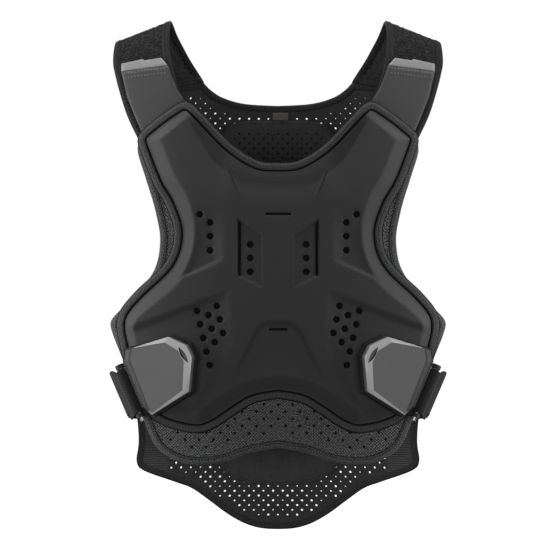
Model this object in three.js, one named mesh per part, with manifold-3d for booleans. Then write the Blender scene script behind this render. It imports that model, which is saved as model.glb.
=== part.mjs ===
// Chest protector vest for off-road riding, shown as it hangs on an unseen torso.
// Millimetres. +Z up, the chest faces -Y, +X is the picture's right.
// The origin lies midway between the shoulder straps, level with their crests.
import * as THREE from "three";
import Module from "manifold-3d";
import { mergeVertices } from "three/addons/utils/BufferGeometryUtils.js";

const wasm = await Module();
wasm.setup();

// Sides of the torso
const front = -1;
const back = 1;

// Torso that the cloth layers follow
const torso = { halfBreadth: 190, crest: -5.6, fall: 0.39, fallFrom: 106, archHeight: 200, archPower: 2.2 };
const chestDepths = [
  { z: 0, depth: 98 },
  { z: -120, depth: 98 },
  { z: -200, depth: 106 },
  { z: -270, depth: 112 },
  { z: -340, depth: 112 },
  { z: -410, depth: 108 },
  { z: -530, depth: 100 },
];
const backDepths = [
  { z: 0, depth: 96 },
  { z: -120, depth: 104 },
  { z: -200, depth: 108 },
  { z: -280, depth: 100 },
  { z: -360, depth: 89 },
  { z: -440, depth: 88 },
  { z: -530, depth: 97 },
];

// Layers, as distances from the torso to the inner and outer faces
const layers = {
  pad: { inner: 0.4, outer: 3.3 },
  back: { inner: 3.8, outer: 6.8 },
  strap: { inner: 3.8, outer: 6.8 },
  strapEdge: { inner: 3.5, outer: 7.1 },
  front: { inner: 7.8, outer: 10.4 },
  frontEdge: { inner: 7.6, outer: 10.7 },
  tab: { inner: 8, outer: 10.4 },
  tip: { inner: 8, outer: 9.8 },
  plate: { inner: 11.2, outer: 24.2 },
  plateEdge: { inner: 11.2, outer: 13.8 },
};
const gap = 0.4;
const blockReach = 260;
const cell = 26;
const outlineStep = 14;
const padStep = 22;
const bindingWidth = 6;
const plateRim = 4;
const plateBevel = 11;
const plateSeam = 0.5;

// Front panel, right half from the neck to the hem, one run per edge
const frontRuns = [
  [
    { x: 0, z: -146 },
    { x: 19, z: -144.4 },
    { x: 38, z: -133 },
    { x: 53, z: -118.6 },
    { x: 73, z: -99.5 },
    { x: 89, z: -84 },
  ],
  [
    { x: 89, z: -84 },
    { x: 110.6, z: -99 },
    { x: 133.4, z: -117.5 },
  ],
  [
    { x: 133.4, z: -117.5 },
    { x: 136.8, z: -132 },
    { x: 128.6, z: -159 },
    { x: 119, z: -190 },
    { x: 114, z: -221 },
    { x: 121.7, z: -252 },
    { x: 149.6, z: -283 },
    { x: 162.5, z: -297 },
    { x: 161.8, z: -308.6 },
    { x: 151.6, z: -333.7 },
    { x: 138.6, z: -366.4 },
    { x: 127.7, z: -399 },
    { x: 115.9, z: -421 },
    { x: 94.4, z: -433.2 },
    { x: 72.1, z: -435.2 },
    { x: 49, z: -431.6 },
    { x: 26.9, z: -423.7 },
    { x: 0, z: -418.8 },
  ],
];

// Chest plate, right half
const plateRuns = [
  [
    { x: 0, z: -154.2 },
    { x: 19.2, z: -153.3 },
    { x: 38.4, z: -146.4 },
    { x: 57.7, z: -134.2 },
    { x: 77.2, z: -114.6 },
    { x: 90, z: -92.8 },
  ],
  [
    { x: 90, z: -92.8 },
    { x: 109.8, z: -106 },
    { x: 128.6, z: -121 },
  ],
  [
    { x: 128.6, z: -121 },
    { x: 113, z: -160.3 },
    { x: 99.7, z: -183.7 },
    { x: 91.3, z: -213.6 },
    { x: 100.9, z: -245.3 },
    { x: 133.3, z: -277.1 },
    { x: 147.4, z: -296.6 },
    { x: 145.2, z: -318.8 },
    { x: 134.3, z: -354.4 },
    { x: 115.6, z: -385 },
    { x: 82.1, z: -395.8 },
    { x: 65.5, z: -392.2 },
    { x: 45.5, z: -378.9 },
    { x: 25.7, z: -367.2 },
    { x: 0, z: -362.2 },
  ],
];

// Back panel, right half
const backRuns = [
  [
    { x: 0, z: -78 },
    { x: 34.1, z: -76.2 },
    { x: 56.2, z: -70.5 },
    { x: 69, z: -62.9 },
    { x: 76.4, z: -55.4 },
  ],
  [
    { x: 76.4, z: -55.4 },
    { x: 108, z: -60.4 },
    { x: 138, z: -68 },
  ],
  [
    { x: 138, z: -68 },
    { x: 118, z: -110 },
    { x: 98, z: -160 },
    { x: 88, z: -222 },
    { x: 96, z: -286 },
    { x: 128, z: -338 },
    { x: 145, z: -362 },
    { x: 142.5, z: -420 },
    { x: 144.6, z: -443 },
    { x: 137.2, z: -453.4 },
    { x: 105.5, z: -466 },
    { x: 88.5, z: -472.9 },
    { x: 55, z: -499 },
    { x: 38.5, z: -509.2 },
    { x: 0, z: -516.3 },
  ],
];

// Inner back pad, right half
const padRuns = [
  [
    { x: 0, z: -93 },
    { x: 36, z: -94 },
    { x: 54, z: -102 },
    { x: 64, z: -124 },
    { x: 68, z: -200 },
    { x: 68, z: -330 },
    { x: 66, z: -430 },
    { x: 56, z: -456 },
    { x: 34, z: -467 },
    { x: 0, z: -471 },
  ],
];

// Shoulder tab and its rubber tip, right side
const tabOutline = [
  { x: 90.6, z: -84.4 },
  { x: 99.2, z: -71.1 },
  { x: 105.4, z: -55 },
  { x: 107.6, z: -48.6 },
  { x: 154.4, z: -53 },
  { x: 147.9, z: -78.6 },
  { x: 140.6, z: -96.7 },
  { x: 132.2, z: -115.4 },
  { x: 111.4, z: -98 },
];
const tipOutline = [
  { x: 107.8, z: -48 },
  { x: 114.7, z: -40 },
  { x: 131.4, z: -42 },
  { x: 133, z: -40.6 },
  { x: 154.6, z: -44.6 },
  { x: 154.4, z: -52.4 },
];

// Shoulder strap, right side, from under the tab over the crest to the back panel
const strapRows = [
  { side: front, inX: 87, inZ: -94, outX: 128, outZ: -134 },
  { side: front, inX: 98, inZ: -65, outX: 146, outZ: -96 },
  { side: front, inX: 104, inZ: -38, outX: 158, outZ: -58 },
  { side: front, inX: 105.6, inZ: -15, outX: 161, outZ: -37 },
  { side: back, inX: 102, inZ: -10, outX: 157, outZ: -34 },
  { side: back, inX: 91, inZ: -31, outX: 148, outZ: -52 },
  { side: back, inX: 76, inZ: -54.8, outX: 138, outZ: -68 },
];
const strapSteps = 20;
const strapBinding = { across: 0.2, along: 0.026 };

// Chest plate relief, right half
const windowCorners = [
  { x: 19, z: -213.5 },
  { x: 36.8, z: -201.4 },
  { x: 36.8, z: -256.8 },
  { x: 19, z: -264.4 },
];
const sideRecess = [
  { x: 51.6, z: -197 },
  { x: 80, z: -182 },
  { x: 90, z: -236 },
  { x: 93, z: -259 },
  { x: 51.6, z: -239 },
];
const lowerRecess = [
  { x: 48.7, z: -268 },
  { x: 124, z: -296 },
  { x: 118, z: -330 },
  { x: 72, z: -372 },
  { x: 43, z: -314 },
];
const archRecess = [
  { x: 13, z: -296 },
  { x: 23, z: -305 },
  { x: 47, z: -352 },
  { x: 0, z: -346 },
];
const recessDepth = { window: 4, side: 4, lower: 3.5, arch: 3.5 };
const recessWall = 3;
const ventRadius = 2.9;
const ventSides = 8;
const slots = [
  { z: -194.8, halfWidth: 12.8, height: 3.2 },
  { z: -304.7, halfWidth: 9.2, height: 3 },
];
const sideVents = [
  { x: 75, z: -195 },
  { x: 65, z: -202.8 },
  { x: 65, z: -216 },
  { x: 65, z: -229.4 },
];
const windowVents = { x: 26.7, top: -223.8, pitch: 13.1, count: 3 };
const ventLattice = { x: 77.4, z: -287.2, downX: -2.97, downZ: -12.95, inX: -11, inZ: -4.1 };
const ventColumns = [
  { column: 0, first: 0, last: 4 },
  { column: 1, first: 0, last: 2 },
  { column: 2, first: -1, last: 1 },
];

// Waist buckle in its own plane, x outwards and z up from its middle
const buckle = {
  x: 112.4,
  y: -118,
  z: -350,
  yaw: THREE.MathUtils.degToRad(24),
  baseHeight: 5,
  coverHeight: 7,
  bevel: 3,
  baseLip: 1.6,
};
const buckleCorners = [
  { x: 35, z: 25.1 },
  { x: -13.7, z: 38.2 },
  { x: -32.6, z: 30.2 },
  { x: -38.6, z: 19.2 },
  { x: -35.2, z: -13.8 },
  { x: 4.2, z: -36.9 },
  { x: 15, z: -31.3 },
  { x: 36.8, z: 14.1 },
];
const bar = { x: 30.3, y: -4.6, z: -14.6, tilt: THREE.MathUtils.degToRad(25.7), radius: 2.2, length: 57 };
const lug = { thickness: 4, outer: 4.6, reach: 13, height: 4 };
const roundSides = 10;
const eye = { inner: 2.6, outer: 4.4 };
const webbing = { width: 46.5, thickness: 2.4, steps: 16, tiltedTo: 0.45, uprightFrom: 0.9 };

// Side strap, right side, from the buckle bar round to the outside of the back panel
const sidePath = [
  { x: 153, y: -82, z: -367 },
  { x: 156, y: -45, z: -371 },
  { x: 155.5, y: 0, z: -373 },
  { x: 154, y: 40, z: -375 },
  { x: 149.8, y: 66.5, z: -377 },
  { x: 140, y: 73, z: -378 },
  { x: 126, y: 78, z: -379 },
];

// Colours
const looks = {
  plate: { color: 0x343536, roughness: 0.8, metalness: 0 },
  mesh: { color: 0x3a3a3b, roughness: 0.9, metalness: 0 },
  binding: { color: 0x3f4041, roughness: 0.75, metalness: 0 },
  tab: { color: 0x4b4c4e, roughness: 0.7, metalness: 0 },
  pile: { color: 0x2a2a2b, roughness: 1, metalness: 0 },
  tip: { color: 0x979b9e, roughness: 0.45, metalness: 0 },
  cover: { color: 0x6c6e6f, roughness: 0.4, metalness: 0 },
  base: { color: 0x161617, roughness: 0.6, metalness: 0 },
  steel: { color: 0xb9bcbe, roughness: 0.3, metalness: 1 },
};

// Smooth value between the rows of a table that runs down in z
function depthAt(rows, z) {
  const last = rows.length - 2;
  const i = Math.min(last, Math.max(0, rows.findIndex((row) => row.z < z) - 1));
  const step = THREE.MathUtils.clamp((z - rows[i].z) / (rows[i + 1].z - rows[i].z), 0, 1);
  const before = rows[Math.max(0, i - 1)].depth;
  const after = rows[Math.min(rows.length - 1, i + 2)].depth;
  return catmull(step, before, rows[i].depth, rows[i + 1].depth, after);
}

function catmull(t, a, b, c, d) {
  const slopeB = (c - a) / 2;
  const slopeC = (d - b) / 2;
  const square = t * t;
  const cube = square * t;
  const fromB = (2 * cube - 3 * square + 1) * b + (cube - 2 * square + t) * slopeB;
  return fromB + (3 * square - 2 * cube) * c + (cube - square) * slopeC;
}

function crestAt(x) {
  return torso.crest - torso.fall * (Math.abs(x) - torso.fallFrom);
}

// Depth of the torso at a point of the front or back view
function torsoY(side, x, z) {
  const depth = depthAt(side === front ? chestDepths : backDepths, z);
  const around = Math.sqrt(1 - (x / torso.halfBreadth) ** 2);
  const rise = THREE.MathUtils.clamp(1 + (z - crestAt(x)) / torso.archHeight, 0, 1);
  return side * depth * around * Math.sqrt(1 - rise ** torso.archPower);
}

// Point of the front or back view at a height above the torso, straight ahead of it
function skinPoint(side, x, z, height) {
  const nudge = 0.5;
  const slopeX = torsoY(side, x + nudge, z) - torsoY(side, x - nudge, z);
  const slopeZ = torsoY(side, x, z + nudge) - torsoY(side, x, z - nudge);
  const y = torsoY(side, x, z) + side * height * Math.hypot(1, slopeX, slopeZ);
  return new THREE.Vector3(x, y, z);
}

// Angle over the shoulder of a point on the front or back, nought at the crest
function shoulderAngle(side, x, z) {
  const rise = THREE.MathUtils.clamp(1 + (z - crestAt(x)) / torso.archHeight, 0, 1);
  return side * Math.acos(rise ** (torso.archPower / 2));
}

function shoulderPoint(x, angle) {
  const rise = Math.cos(angle) ** (2 / torso.archPower);
  const z = crestAt(x) - torso.archHeight * (1 - rise);
  const depth = depthAt(angle < 0 ? chestDepths : backDepths, z);
  const around = Math.sqrt(1 - (x / torso.halfBreadth) ** 2);
  return new THREE.Vector3(x, depth * around * Math.sin(angle), z);
}

// Point on the strap: across from -1 at the neck to 1 at the arm, along from 0 in front to 1 behind
function strapPoint(across, along, height) {
  const spread = (across + 1) / 2;
  const at = (u, v) => {
    const place = v * (strapRows.length - 1);
    const i = Math.min(strapRows.length - 2, Math.max(0, Math.floor(place)));
    const value = (name) => {
      const pick = (k) => strapNumbers[Math.min(strapRows.length - 1, Math.max(0, k))][name];
      return catmull(place - i, pick(i - 1), pick(i), pick(i + 1), pick(i + 2));
    };
    const x = THREE.MathUtils.lerp(value("inX"), value("outX"), u);
    return shoulderPoint(x, THREE.MathUtils.lerp(value("inAngle"), value("outAngle"), u));
  };
  const nudge = 0.002;
  const alongWay = at(spread, along + nudge).sub(at(spread, along - nudge));
  const acrossWay = at(spread + nudge, along).sub(at(spread - nudge, along));
  const normal = acrossWay.cross(alongWay).normalize();
  return at(spread, along).addScaledVector(normal, height);
}

const strapNumbers = strapRows.map((row) => ({
  inX: row.inX,
  outX: row.outX,
  inAngle: shoulderAngle(row.side, row.inX, row.inZ),
  outAngle: shoulderAngle(row.side, row.outX, row.outZ),
}));

// Moves each vertex of a geometry and leaves only its positions
function bend(geometry, place) {
  geometry.deleteAttribute("normal");
  geometry.deleteAttribute("uv");
  const merged = mergeVertices(geometry, 1e-4);
  const spots = merged.getAttribute("position");
  const spot = new THREE.Vector3();
  for (let i = 0; i < spots.count; i += 1) {
    spot.copy(place(spot.fromBufferAttribute(spots, i)));
    spots.setXYZ(i, spot.x, spot.y, spot.z);
  }
  return merged;
}

// Triangles that have closed up to a line are left out
function openTriangles(geometry) {
  const spots = geometry.getAttribute("position");
  const bare = new THREE.BufferGeometry().setAttribute("position", spots).setIndex(geometry.index);
  const merged = mergeVertices(bare, 1e-4);
  const corners = merged.index.array;
  const kept = [];
  for (let i = 0; i < corners.length; i += 3) {
    const [a, b, c] = corners.slice(i, i + 3);
    if (a !== b && b !== c && c !== a) kept.push(a, b, c);
  }
  return merged.setIndex(kept);
}

function solid(geometry) {
  const vertProperties = new Float32Array(geometry.getAttribute("position").array);
  const triVerts = new Uint32Array(geometry.index.array);
  return new wasm.Manifold(new wasm.Mesh({ numProp: 3, vertProperties, triVerts }));
}

function plain(geometry) {
  return solid(openTriangles(bend(geometry, (spot) => spot)));
}

function geometryOf(manifold) {
  const mesh = manifold.getMesh();
  const geometry = new THREE.BufferGeometry();
  geometry.setAttribute("position", new THREE.BufferAttribute(mesh.vertProperties, 3));
  geometry.setIndex(new THREE.BufferAttribute(mesh.triVerts, 1));
  geometry.computeVertexNormals();
  return geometry;
}

// Closed outline of a piece that is the same on both sides, from the runs of its right half
function mirroredLoop(runs, step = outlineStep) {
  const right = [];
  for (const run of runs) {
    const curve = new THREE.SplineCurve(run.map((row) => new THREE.Vector2(row.x, row.z)));
    const pieces = Math.max(1, Math.round(curve.getLength() / step));
    right.push(...curve.getSpacedPoints(pieces).slice(0, -1));
  }
  const end = runs.at(-1).at(-1);
  right.push(new THREE.Vector2(end.x, end.z));
  const left = right.slice(1, -1).reverse();
  return [...right, ...left.map((spot) => new THREE.Vector2(-spot.x, spot.y))];
}

// Each corner of a clockwise outline moved inwards, or outwards for a negative distance
function shifted(loop, distance) {
  return loop.map((spot, i) => {
    const before = loop[(i + loop.length - 1) % loop.length];
    const after = loop[(i + 1) % loop.length];
    const into = spot.clone().sub(before).normalize();
    const out = after.clone().sub(spot).normalize();
    const middle = into.clone().add(out).normalize();
    const stretch = distance / Math.max(0.5, middle.dot(into));
    return new THREE.Vector2(spot.x + middle.y * stretch, spot.y - middle.x * stretch);
  });
}

function distanceTo(loop, spot) {
  const foot = new THREE.Vector3();
  const flat = new THREE.Vector3(spot.x, spot.y, 0);
  const distances = loop.map((corner, i) => {
    const next = loop[(i + 1) % loop.length];
    const line = new THREE.Line3(new THREE.Vector3(corner.x, corner.y), new THREE.Vector3(next.x, next.y));
    return line.closestPointToPoint(flat, true, foot).distanceTo(flat);
  });
  return Math.min(...distances);
}

// Outline moved inwards or outwards; corners that would fold over close up on the nearest one along the outline
function inset(loop, distance) {
  const nearest = Math.abs(distance) * 0.995;
  const moved = shifted(loop, distance);
  const good = moved.map((spot) => distanceTo(loop, spot) >= nearest);
  const count = loop.length;
  return moved.map((spot, i) => {
    let away = 0;
    while (!good[(i + away) % count] && !good[(i + count - away) % count]) away += 1;
    const pick = good[(i + away) % count] ? i + away : i + count - away;
    return moved[pick % count].clone();
  });
}

function withoutRepeats(loop) {
  return loop.filter((spot, i) => spot.distanceTo(loop[(i + 1) % loop.length]) > 0.01);
}

// Outline as a straight block along Y on the front or back of the torso
function block(side, loop) {
  const geometry = new THREE.ExtrudeGeometry(new THREE.Shape(withoutRepeats(loop)), {
    depth: blockReach,
    bevelEnabled: false,
  });
  geometry.rotateX(Math.PI / 2);
  geometry.translate(0, side === back ? blockReach : 0, 0);
  return plain(geometry);
}

// Curved sheet on the torso between two heights, as large as an outline
function sheet(side, loop, layer) {
  const box = new THREE.Box2().setFromPoints(loop);
  const west = Math.floor(box.min.x / cell) * cell;
  const east = Math.ceil(box.max.x / cell) * cell;
  const low = Math.floor(box.min.y / cell) * cell;
  const high = Math.ceil(box.max.y / cell) * cell;
  const across = (east - west) / cell;
  const up = (high - low) / cell;
  const geometry = new THREE.BoxGeometry(east - west, 1, high - low, across, 1, up);
  geometry.translate((east + west) / 2, 0, (high + low) / 2);
  return bend(geometry, (spot) => {
    const outside = spot.y * side > 0;
    return skinPoint(side, spot.x, spot.z, outside ? layer.outer : layer.inner);
  });
}

function panel(side, loop, layer) {
  return solid(sheet(side, loop, layer)).intersect(block(side, loop));
}

// Closed ring of square section; place gives the point for a step round it, out or in, high or low
function ring(steps, place) {
  const corners = [
    { out: true, high: false },
    { out: true, high: true },
    { out: false, high: true },
    { out: false, high: false },
  ];
  const geometry = new THREE.TorusGeometry(2, 1, corners.length, steps);
  const around = geometry.getAttribute("uv");
  const points = geometry.getAttribute("position");
  for (let i = 0; i < points.count; i += 1) {
    const step = Math.round(around.getX(i) * steps) % steps;
    const corner = corners[Math.round(around.getY(i) * corners.length) % corners.length];
    const spot = place(step, corner.out, corner.high);
    points.setXYZ(i, spot.x, spot.y, spot.z);
  }
  return plain(geometry);
}

// Band on the torso between two matching outlines; its outer edge is as high as the rim
function band(side, outer, inner, layer, rim) {
  const last = outer.length - 1;
  return ring(outer.length, (step, out, high) => {
    const i = side === front ? last - step : step;
    const spot = out ? outer[i] : inner[i];
    const top = out ? rim : layer.outer;
    return skinPoint(side, spot.x, spot.y, high ? top : layer.inner);
  });
}

function spots(rows, sign = 1) {
  const list = rows.map((row) => new THREE.Vector2(sign * row.x, row.z));
  return sign < 0 ? list.reverse() : list;
}

// Hollow with sloping walls, cut into the plate's top from above it
function hollow(loop, depth) {
  const above = 8;
  const floor = layers.plate.outer - depth;
  const turned = THREE.ShapeUtils.isClockWise(loop) ? loop : [...loop].reverse();
  const wide = shifted(turned, -recessWall * (1 + above / depth));
  const geometry = new THREE.ExtrudeGeometry(new THREE.Shape(turned), { depth: 1, bevelEnabled: false });
  geometry.rotateX(Math.PI / 2);
  return solid(
    bend(geometry, (spot) => {
      if (spot.y > -0.5) return skinPoint(front, spot.x, spot.z, floor);
      const flat = new THREE.Vector2(spot.x, spot.z);
      const i = turned.findIndex((corner) => corner.distanceTo(flat) < 0.01);
      return skinPoint(front, wide[i].x, wide[i].y, layers.plate.outer + above);
    }),
  );
}

function circle(x, z, radius, sides) {
  const shape = new THREE.Shape();
  shape.absarc(x, z, radius, 0, Math.PI * 2);
  return shape.getSpacedPoints(sides).slice(0, -1);
}

function ventSpots() {
  const list = [...sideVents];
  for (let i = 0; i < windowVents.count; i += 1) {
    list.push({ x: windowVents.x, z: windowVents.top - i * windowVents.pitch });
  }
  for (const { column, first, last } of ventColumns) {
    for (let i = first; i <= last; i += 1) {
      const x = ventLattice.x + column * ventLattice.inX + i * ventLattice.downX;
      list.push({ x, z: ventLattice.z + column * ventLattice.inZ + i * ventLattice.downZ });
    }
  }
  return list;
}

function slotLoop({ z, halfWidth, height }) {
  const r = height / 2;
  const shape = new THREE.Shape();
  shape.absarc(halfWidth - r, z, r, -Math.PI / 2, Math.PI / 2);
  shape.absarc(r - halfWidth, z, r, Math.PI / 2, Math.PI * 1.5);
  return shape.getPoints(3);
}

function makePlate() {
  const loop = mirroredLoop(plateRuns);
  const { inner, outer } = layers.plate;
  const top = inset(loop, plateBevel);
  const seam = inset(loop, plateBevel + plateSeam);
  const slopeLayer = { inner: inner + plateSeam, outer: outer - plateSeam };
  const slope = band(front, loop, seam, slopeLayer, inner + plateRim);
  let plate = panel(front, top, layers.plate).add(slope);
  for (const sign of [1, -1]) {
    const cut = (rows, depth) => {
      plate = plate.subtract(hollow(spots(rows, sign), depth));
    };
    cut(windowCorners, recessDepth.window);
    cut(sideRecess, recessDepth.side);
    cut(lowerRecess, recessDepth.lower);
    for (const vent of ventSpots()) {
      plate = plate.subtract(block(front, circle(sign * vent.x, vent.z, ventRadius, ventSides)));
    }
  }
  const arch = [...archRecess, ...archRecess.slice(0, 3).reverse().map((row) => ({ x: -row.x, z: row.z }))];
  plate = plate.subtract(hollow(spots(arch), recessDepth.arch));
  for (const slot of slots) {
    plate = plate.subtract(block(front, slotLoop(slot)));
  }
  return plate;
}

// Box bent over the right shoulder: half its width as a share of the strap's, and the length left off each end
function overShoulder(halfWidth, margin, layer) {
  const geometry = new THREE.BoxGeometry(2, 1, 1, 3, strapSteps, 1);
  geometry.translate(0, 0.5, 0);
  return solid(
    bend(geometry, (spot) => {
      const along = THREE.MathUtils.lerp(margin, 1 - margin, spot.y);
      return strapPoint(spot.x * halfWidth, along, spot.z > 0 ? layer.outer : layer.inner);
    }),
  );
}

function makeStrap() {
  const part = 1 + gap / bindingWidth;
  return overShoulder(1 - strapBinding.across * part, strapBinding.along * part, layers.strap);
}

function makeStrapBinding() {
  const { inner, outer } = layers.strapEdge;
  const steps = 2 * strapSteps + 4;
  return ring(steps, (step, out, high) => {
    const across = out ? 1 : 1 - strapBinding.across;
    const margin = out ? 0 : strapBinding.along;
    const onNeckSide = step > strapSteps + 1;
    const turn = onNeckSide ? -1 : 1;
    const place = onNeckSide ? step - strapSteps - 2 : step;
    const along = THREE.MathUtils.lerp(margin, 1 - margin, Math.min(place, strapSteps) / strapSteps);
    const side = place > strapSteps ? 0 : across;
    return strapPoint(turn * side, turn > 0 ? along : 1 - along, high ? outer : inner);
  });
}

// Buckle outline raised along its own normal
function raised(corners, from, height, bevel) {
  const shape = new THREE.Shape(spots(corners));
  const options = { depth: height - bevel, bevelEnabled: bevel > 0 };
  const geometry = new THREE.ExtrudeGeometry(shape, {
    ...options,
    bevelThickness: bevel / 2,
    bevelSize: bevel,
    bevelOffset: -bevel,
    bevelSegments: 1,
  });
  geometry.translate(0, 0, from + bevel / 2);
  geometry.rotateX(Math.PI / 2);
  return plain(geometry);
}

function barFrame() {
  const frame = new THREE.Matrix4().makeRotationY(bar.tilt);
  return frame.setPosition(bar.x, bar.y, bar.z);
}

// Round bar, disc or bore on the line of the buckle bar
function alongBar(radius, length, middle) {
  const geometry = new THREE.CylinderGeometry(radius, radius, length, roundSides).rotateX(Math.PI / 2);
  geometry.translate(0, 0, middle);
  return plain(geometry.applyMatrix4(barFrame()));
}

function makeBuckleBase() {
  const loop = shifted(spots(buckleCorners).reverse(), -buckle.baseLip);
  const rows = loop.map((spot) => ({ x: spot.x, z: spot.y }));
  let base = raised(rows, 0, buckle.baseHeight, 0);
  for (const end of [1, -1]) {
    const middle = end * (webbing.width / 2 + gap + lug.thickness / 2);
    const arm = new THREE.BoxGeometry(lug.reach, lug.height, lug.thickness);
    arm.translate(-lug.reach / 2, lug.height / 2 - gap, middle);
    arm.applyMatrix4(barFrame());
    base = base.add(alongBar(lug.outer, lug.thickness, middle)).add(plain(arm));
  }
  const bore = alongBar(eye.inner, 2 * bar.length, 0);
  const eyeRoom = alongBar(eye.outer + gap, webbing.width + 2 * gap, 0);
  return base.subtract(bore).subtract(eyeRoom);
}

// Right side strap with the eye that closes round the bar
function makeSideStrap(world) {
  const way = sidePath.map((row) => new THREE.Vector3(row.x, row.y, row.z));
  const barWay = new THREE.Vector3(0, 0, 1).transformDirection(world);
  const centre = new THREE.Vector3().setFromMatrixPosition(world);
  const leave = way[0].clone().sub(centre).projectOnPlane(barWay).setLength((eye.inner + eye.outer) / 2);
  const curve = new THREE.CatmullRomCurve3([centre.add(leave), ...way]);
  const upright = new THREE.Vector3(0, 0, 1);
  const { tiltedTo, uprightFrom } = webbing;
  const geometry = new THREE.BoxGeometry(1, 1, 1, 1, webbing.steps, 1);
  geometry.translate(0, 0.5, 0);
  const strip = solid(
    bend(geometry, (spot) => {
      const turn = THREE.MathUtils.smoothstep(spot.y, tiltedTo, uprightFrom);
      const wide = barWay.clone().lerp(upright, turn).normalize();
      const ahead = curve.getTangentAt(spot.y);
      const thick = ahead.clone().cross(wide).normalize();
      return curve
        .getPointAt(spot.y)
        .addScaledVector(wide, spot.z * webbing.width)
        .addScaledVector(thick, spot.x * webbing.thickness);
    }),
  );
  const loop = alongBar(eye.outer, webbing.width, 0).subtract(alongBar(eye.inner, 2 * webbing.width, 0));
  const moved = geometryOf(loop).applyMatrix4(world.clone().multiply(barFrame().invert()));
  return strip.add(plain(moved));
}

function mesh(name, manifold, look) {
  const made = new THREE.Mesh(geometryOf(manifold), new THREE.MeshStandardMaterial(look));
  made.name = name;
  return made;
}

const vest = new THREE.Group();

const frontLoop = mirroredLoop(frontRuns);
const backLoop = mirroredLoop(backRuns);
const plateLoop = mirroredLoop(plateRuns);
const edge = bindingWidth + gap;
vest.add(mesh("front_panel", panel(front, inset(frontLoop, edge), layers.front), looks.mesh));
vest.add(
  mesh(
    "front_binding",
    band(front, frontLoop, inset(frontLoop, bindingWidth), layers.frontEdge, layers.frontEdge.outer),
    looks.binding,
  ),
);
vest.add(mesh("chest_plate", makePlate(), looks.plate));
vest.add(
  mesh(
    "plate_binding",
    band(front, inset(plateLoop, -edge), inset(plateLoop, -gap), layers.plateEdge, layers.plateEdge.outer),
    looks.binding,
  ),
);
vest.add(mesh("back_panel", panel(back, inset(backLoop, edge), layers.back), looks.mesh));
vest.add(
  mesh(
    "back_binding",
    band(back, backLoop, inset(backLoop, bindingWidth), layers.strapEdge, layers.strapEdge.outer),
    looks.binding,
  ),
);
vest.add(mesh("back_pad", panel(back, mirroredLoop(padRuns, padStep), layers.pad), looks.mesh));

// Pieces that come in pairs, modelled on the right and mirrored to the left
const strap = makeStrap();
const strapEdge = makeStrapBinding();
const tab = panel(front, spots(tabOutline), layers.tab);
const tip = panel(front, spots(tipOutline), layers.tip);
for (const { side, sign } of [{ side: "right", sign: 1 }, { side: "left", sign: -1 }]) {
  const pair = new THREE.Group();
  pair.scale.x = sign;
  pair.add(mesh(`shoulder_strap_${side}`, strap, looks.pile));
  pair.add(mesh(`strap_binding_${side}`, strapEdge, looks.binding));
  pair.add(mesh(`shoulder_tab_${side}`, tab, looks.tab));
  pair.add(mesh(`tab_tip_${side}`, tip, looks.tip));

  const clip = new THREE.Group();
  clip.position.set(buckle.x, buckle.y, buckle.z);
  clip.rotation.z = buckle.yaw;
  clip.add(mesh(`buckle_base_${side}`, makeBuckleBase(), looks.base));
  const cover = raised(buckleCorners, buckle.baseHeight + gap, buckle.coverHeight, buckle.bevel);
  clip.add(mesh(`buckle_cover_${side}`, cover, looks.cover));
  clip.add(mesh(`buckle_pin_${side}`, alongBar(bar.radius, bar.length, 0), looks.steel));
  pair.add(clip);
  clip.updateMatrix();
  const barWorld = clip.matrix.clone().multiply(barFrame());
  pair.add(mesh(`side_strap_${side}`, makeSideStrap(barWorld), looks.binding));
  vest.add(pair);
}

export default vest;
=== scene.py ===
import math

import bmesh
import bpy
import numpy as np
from bmesh.types import BMEdge, BMFace, BMVert
from mathutils import Matrix, Vector, noise


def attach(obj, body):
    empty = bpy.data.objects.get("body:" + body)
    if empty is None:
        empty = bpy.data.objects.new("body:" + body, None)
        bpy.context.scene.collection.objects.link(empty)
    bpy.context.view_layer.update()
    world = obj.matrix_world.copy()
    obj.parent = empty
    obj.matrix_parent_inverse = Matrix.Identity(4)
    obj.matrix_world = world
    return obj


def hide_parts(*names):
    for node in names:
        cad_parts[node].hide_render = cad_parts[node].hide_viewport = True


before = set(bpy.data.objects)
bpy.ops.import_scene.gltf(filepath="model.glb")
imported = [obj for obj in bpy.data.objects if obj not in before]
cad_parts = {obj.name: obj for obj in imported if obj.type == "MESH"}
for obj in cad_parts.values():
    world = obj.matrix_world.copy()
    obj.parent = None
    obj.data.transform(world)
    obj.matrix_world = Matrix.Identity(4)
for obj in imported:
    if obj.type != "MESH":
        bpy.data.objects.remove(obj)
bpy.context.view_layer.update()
mm = 0.001
uvMetre = 10.0  # one UV unit is 100 mm of cloth
print("frame loaded", len(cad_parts), "nodes")

# torso that the cloth follows, millimetres
torso = dict(halfBreadth=190, crest=-5.6, fall=0.39, fallFrom=106, archHeight=200, archPower=2.2)
chest = dict(
    side=-1,
    heights=(0, -120, -200, -270, -340, -410, -530),
    depths=(98, 98, 106, 112, 112, 108, 100),
)
spine = dict(
    side=1,
    heights=(0, -120, -200, -280, -360, -440, -530),
    depths=(96, 104, 108, 100, 89, 88, 97),
)


def smooth(low, high, value):
    t = np.clip((value - low) / (high - low), 0, 1)
    return t * t * (3 - 2 * t)


def unit(vectors):
    return vectors / np.maximum(np.linalg.norm(vectors, axis=-1, keepdims=True), 1e-9)


def catmull(values, place):
    values = np.asarray(values, float)
    last = len(values) - 1
    i = np.clip(np.floor(place).astype(int), 0, last - 1)
    t = place - i
    a, b, c, d = (values[np.clip(i + k, 0, last)] for k in (-1, 0, 1, 2))
    fromB = (2 * t**3 - 3 * t**2 + 1) * b + (t**3 - 2 * t**2 + t) * (c - a) / 2
    return fromB + (3 * t**2 - 2 * t**3) * c + (t**3 - t**2) * (d - b) / 2


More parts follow.
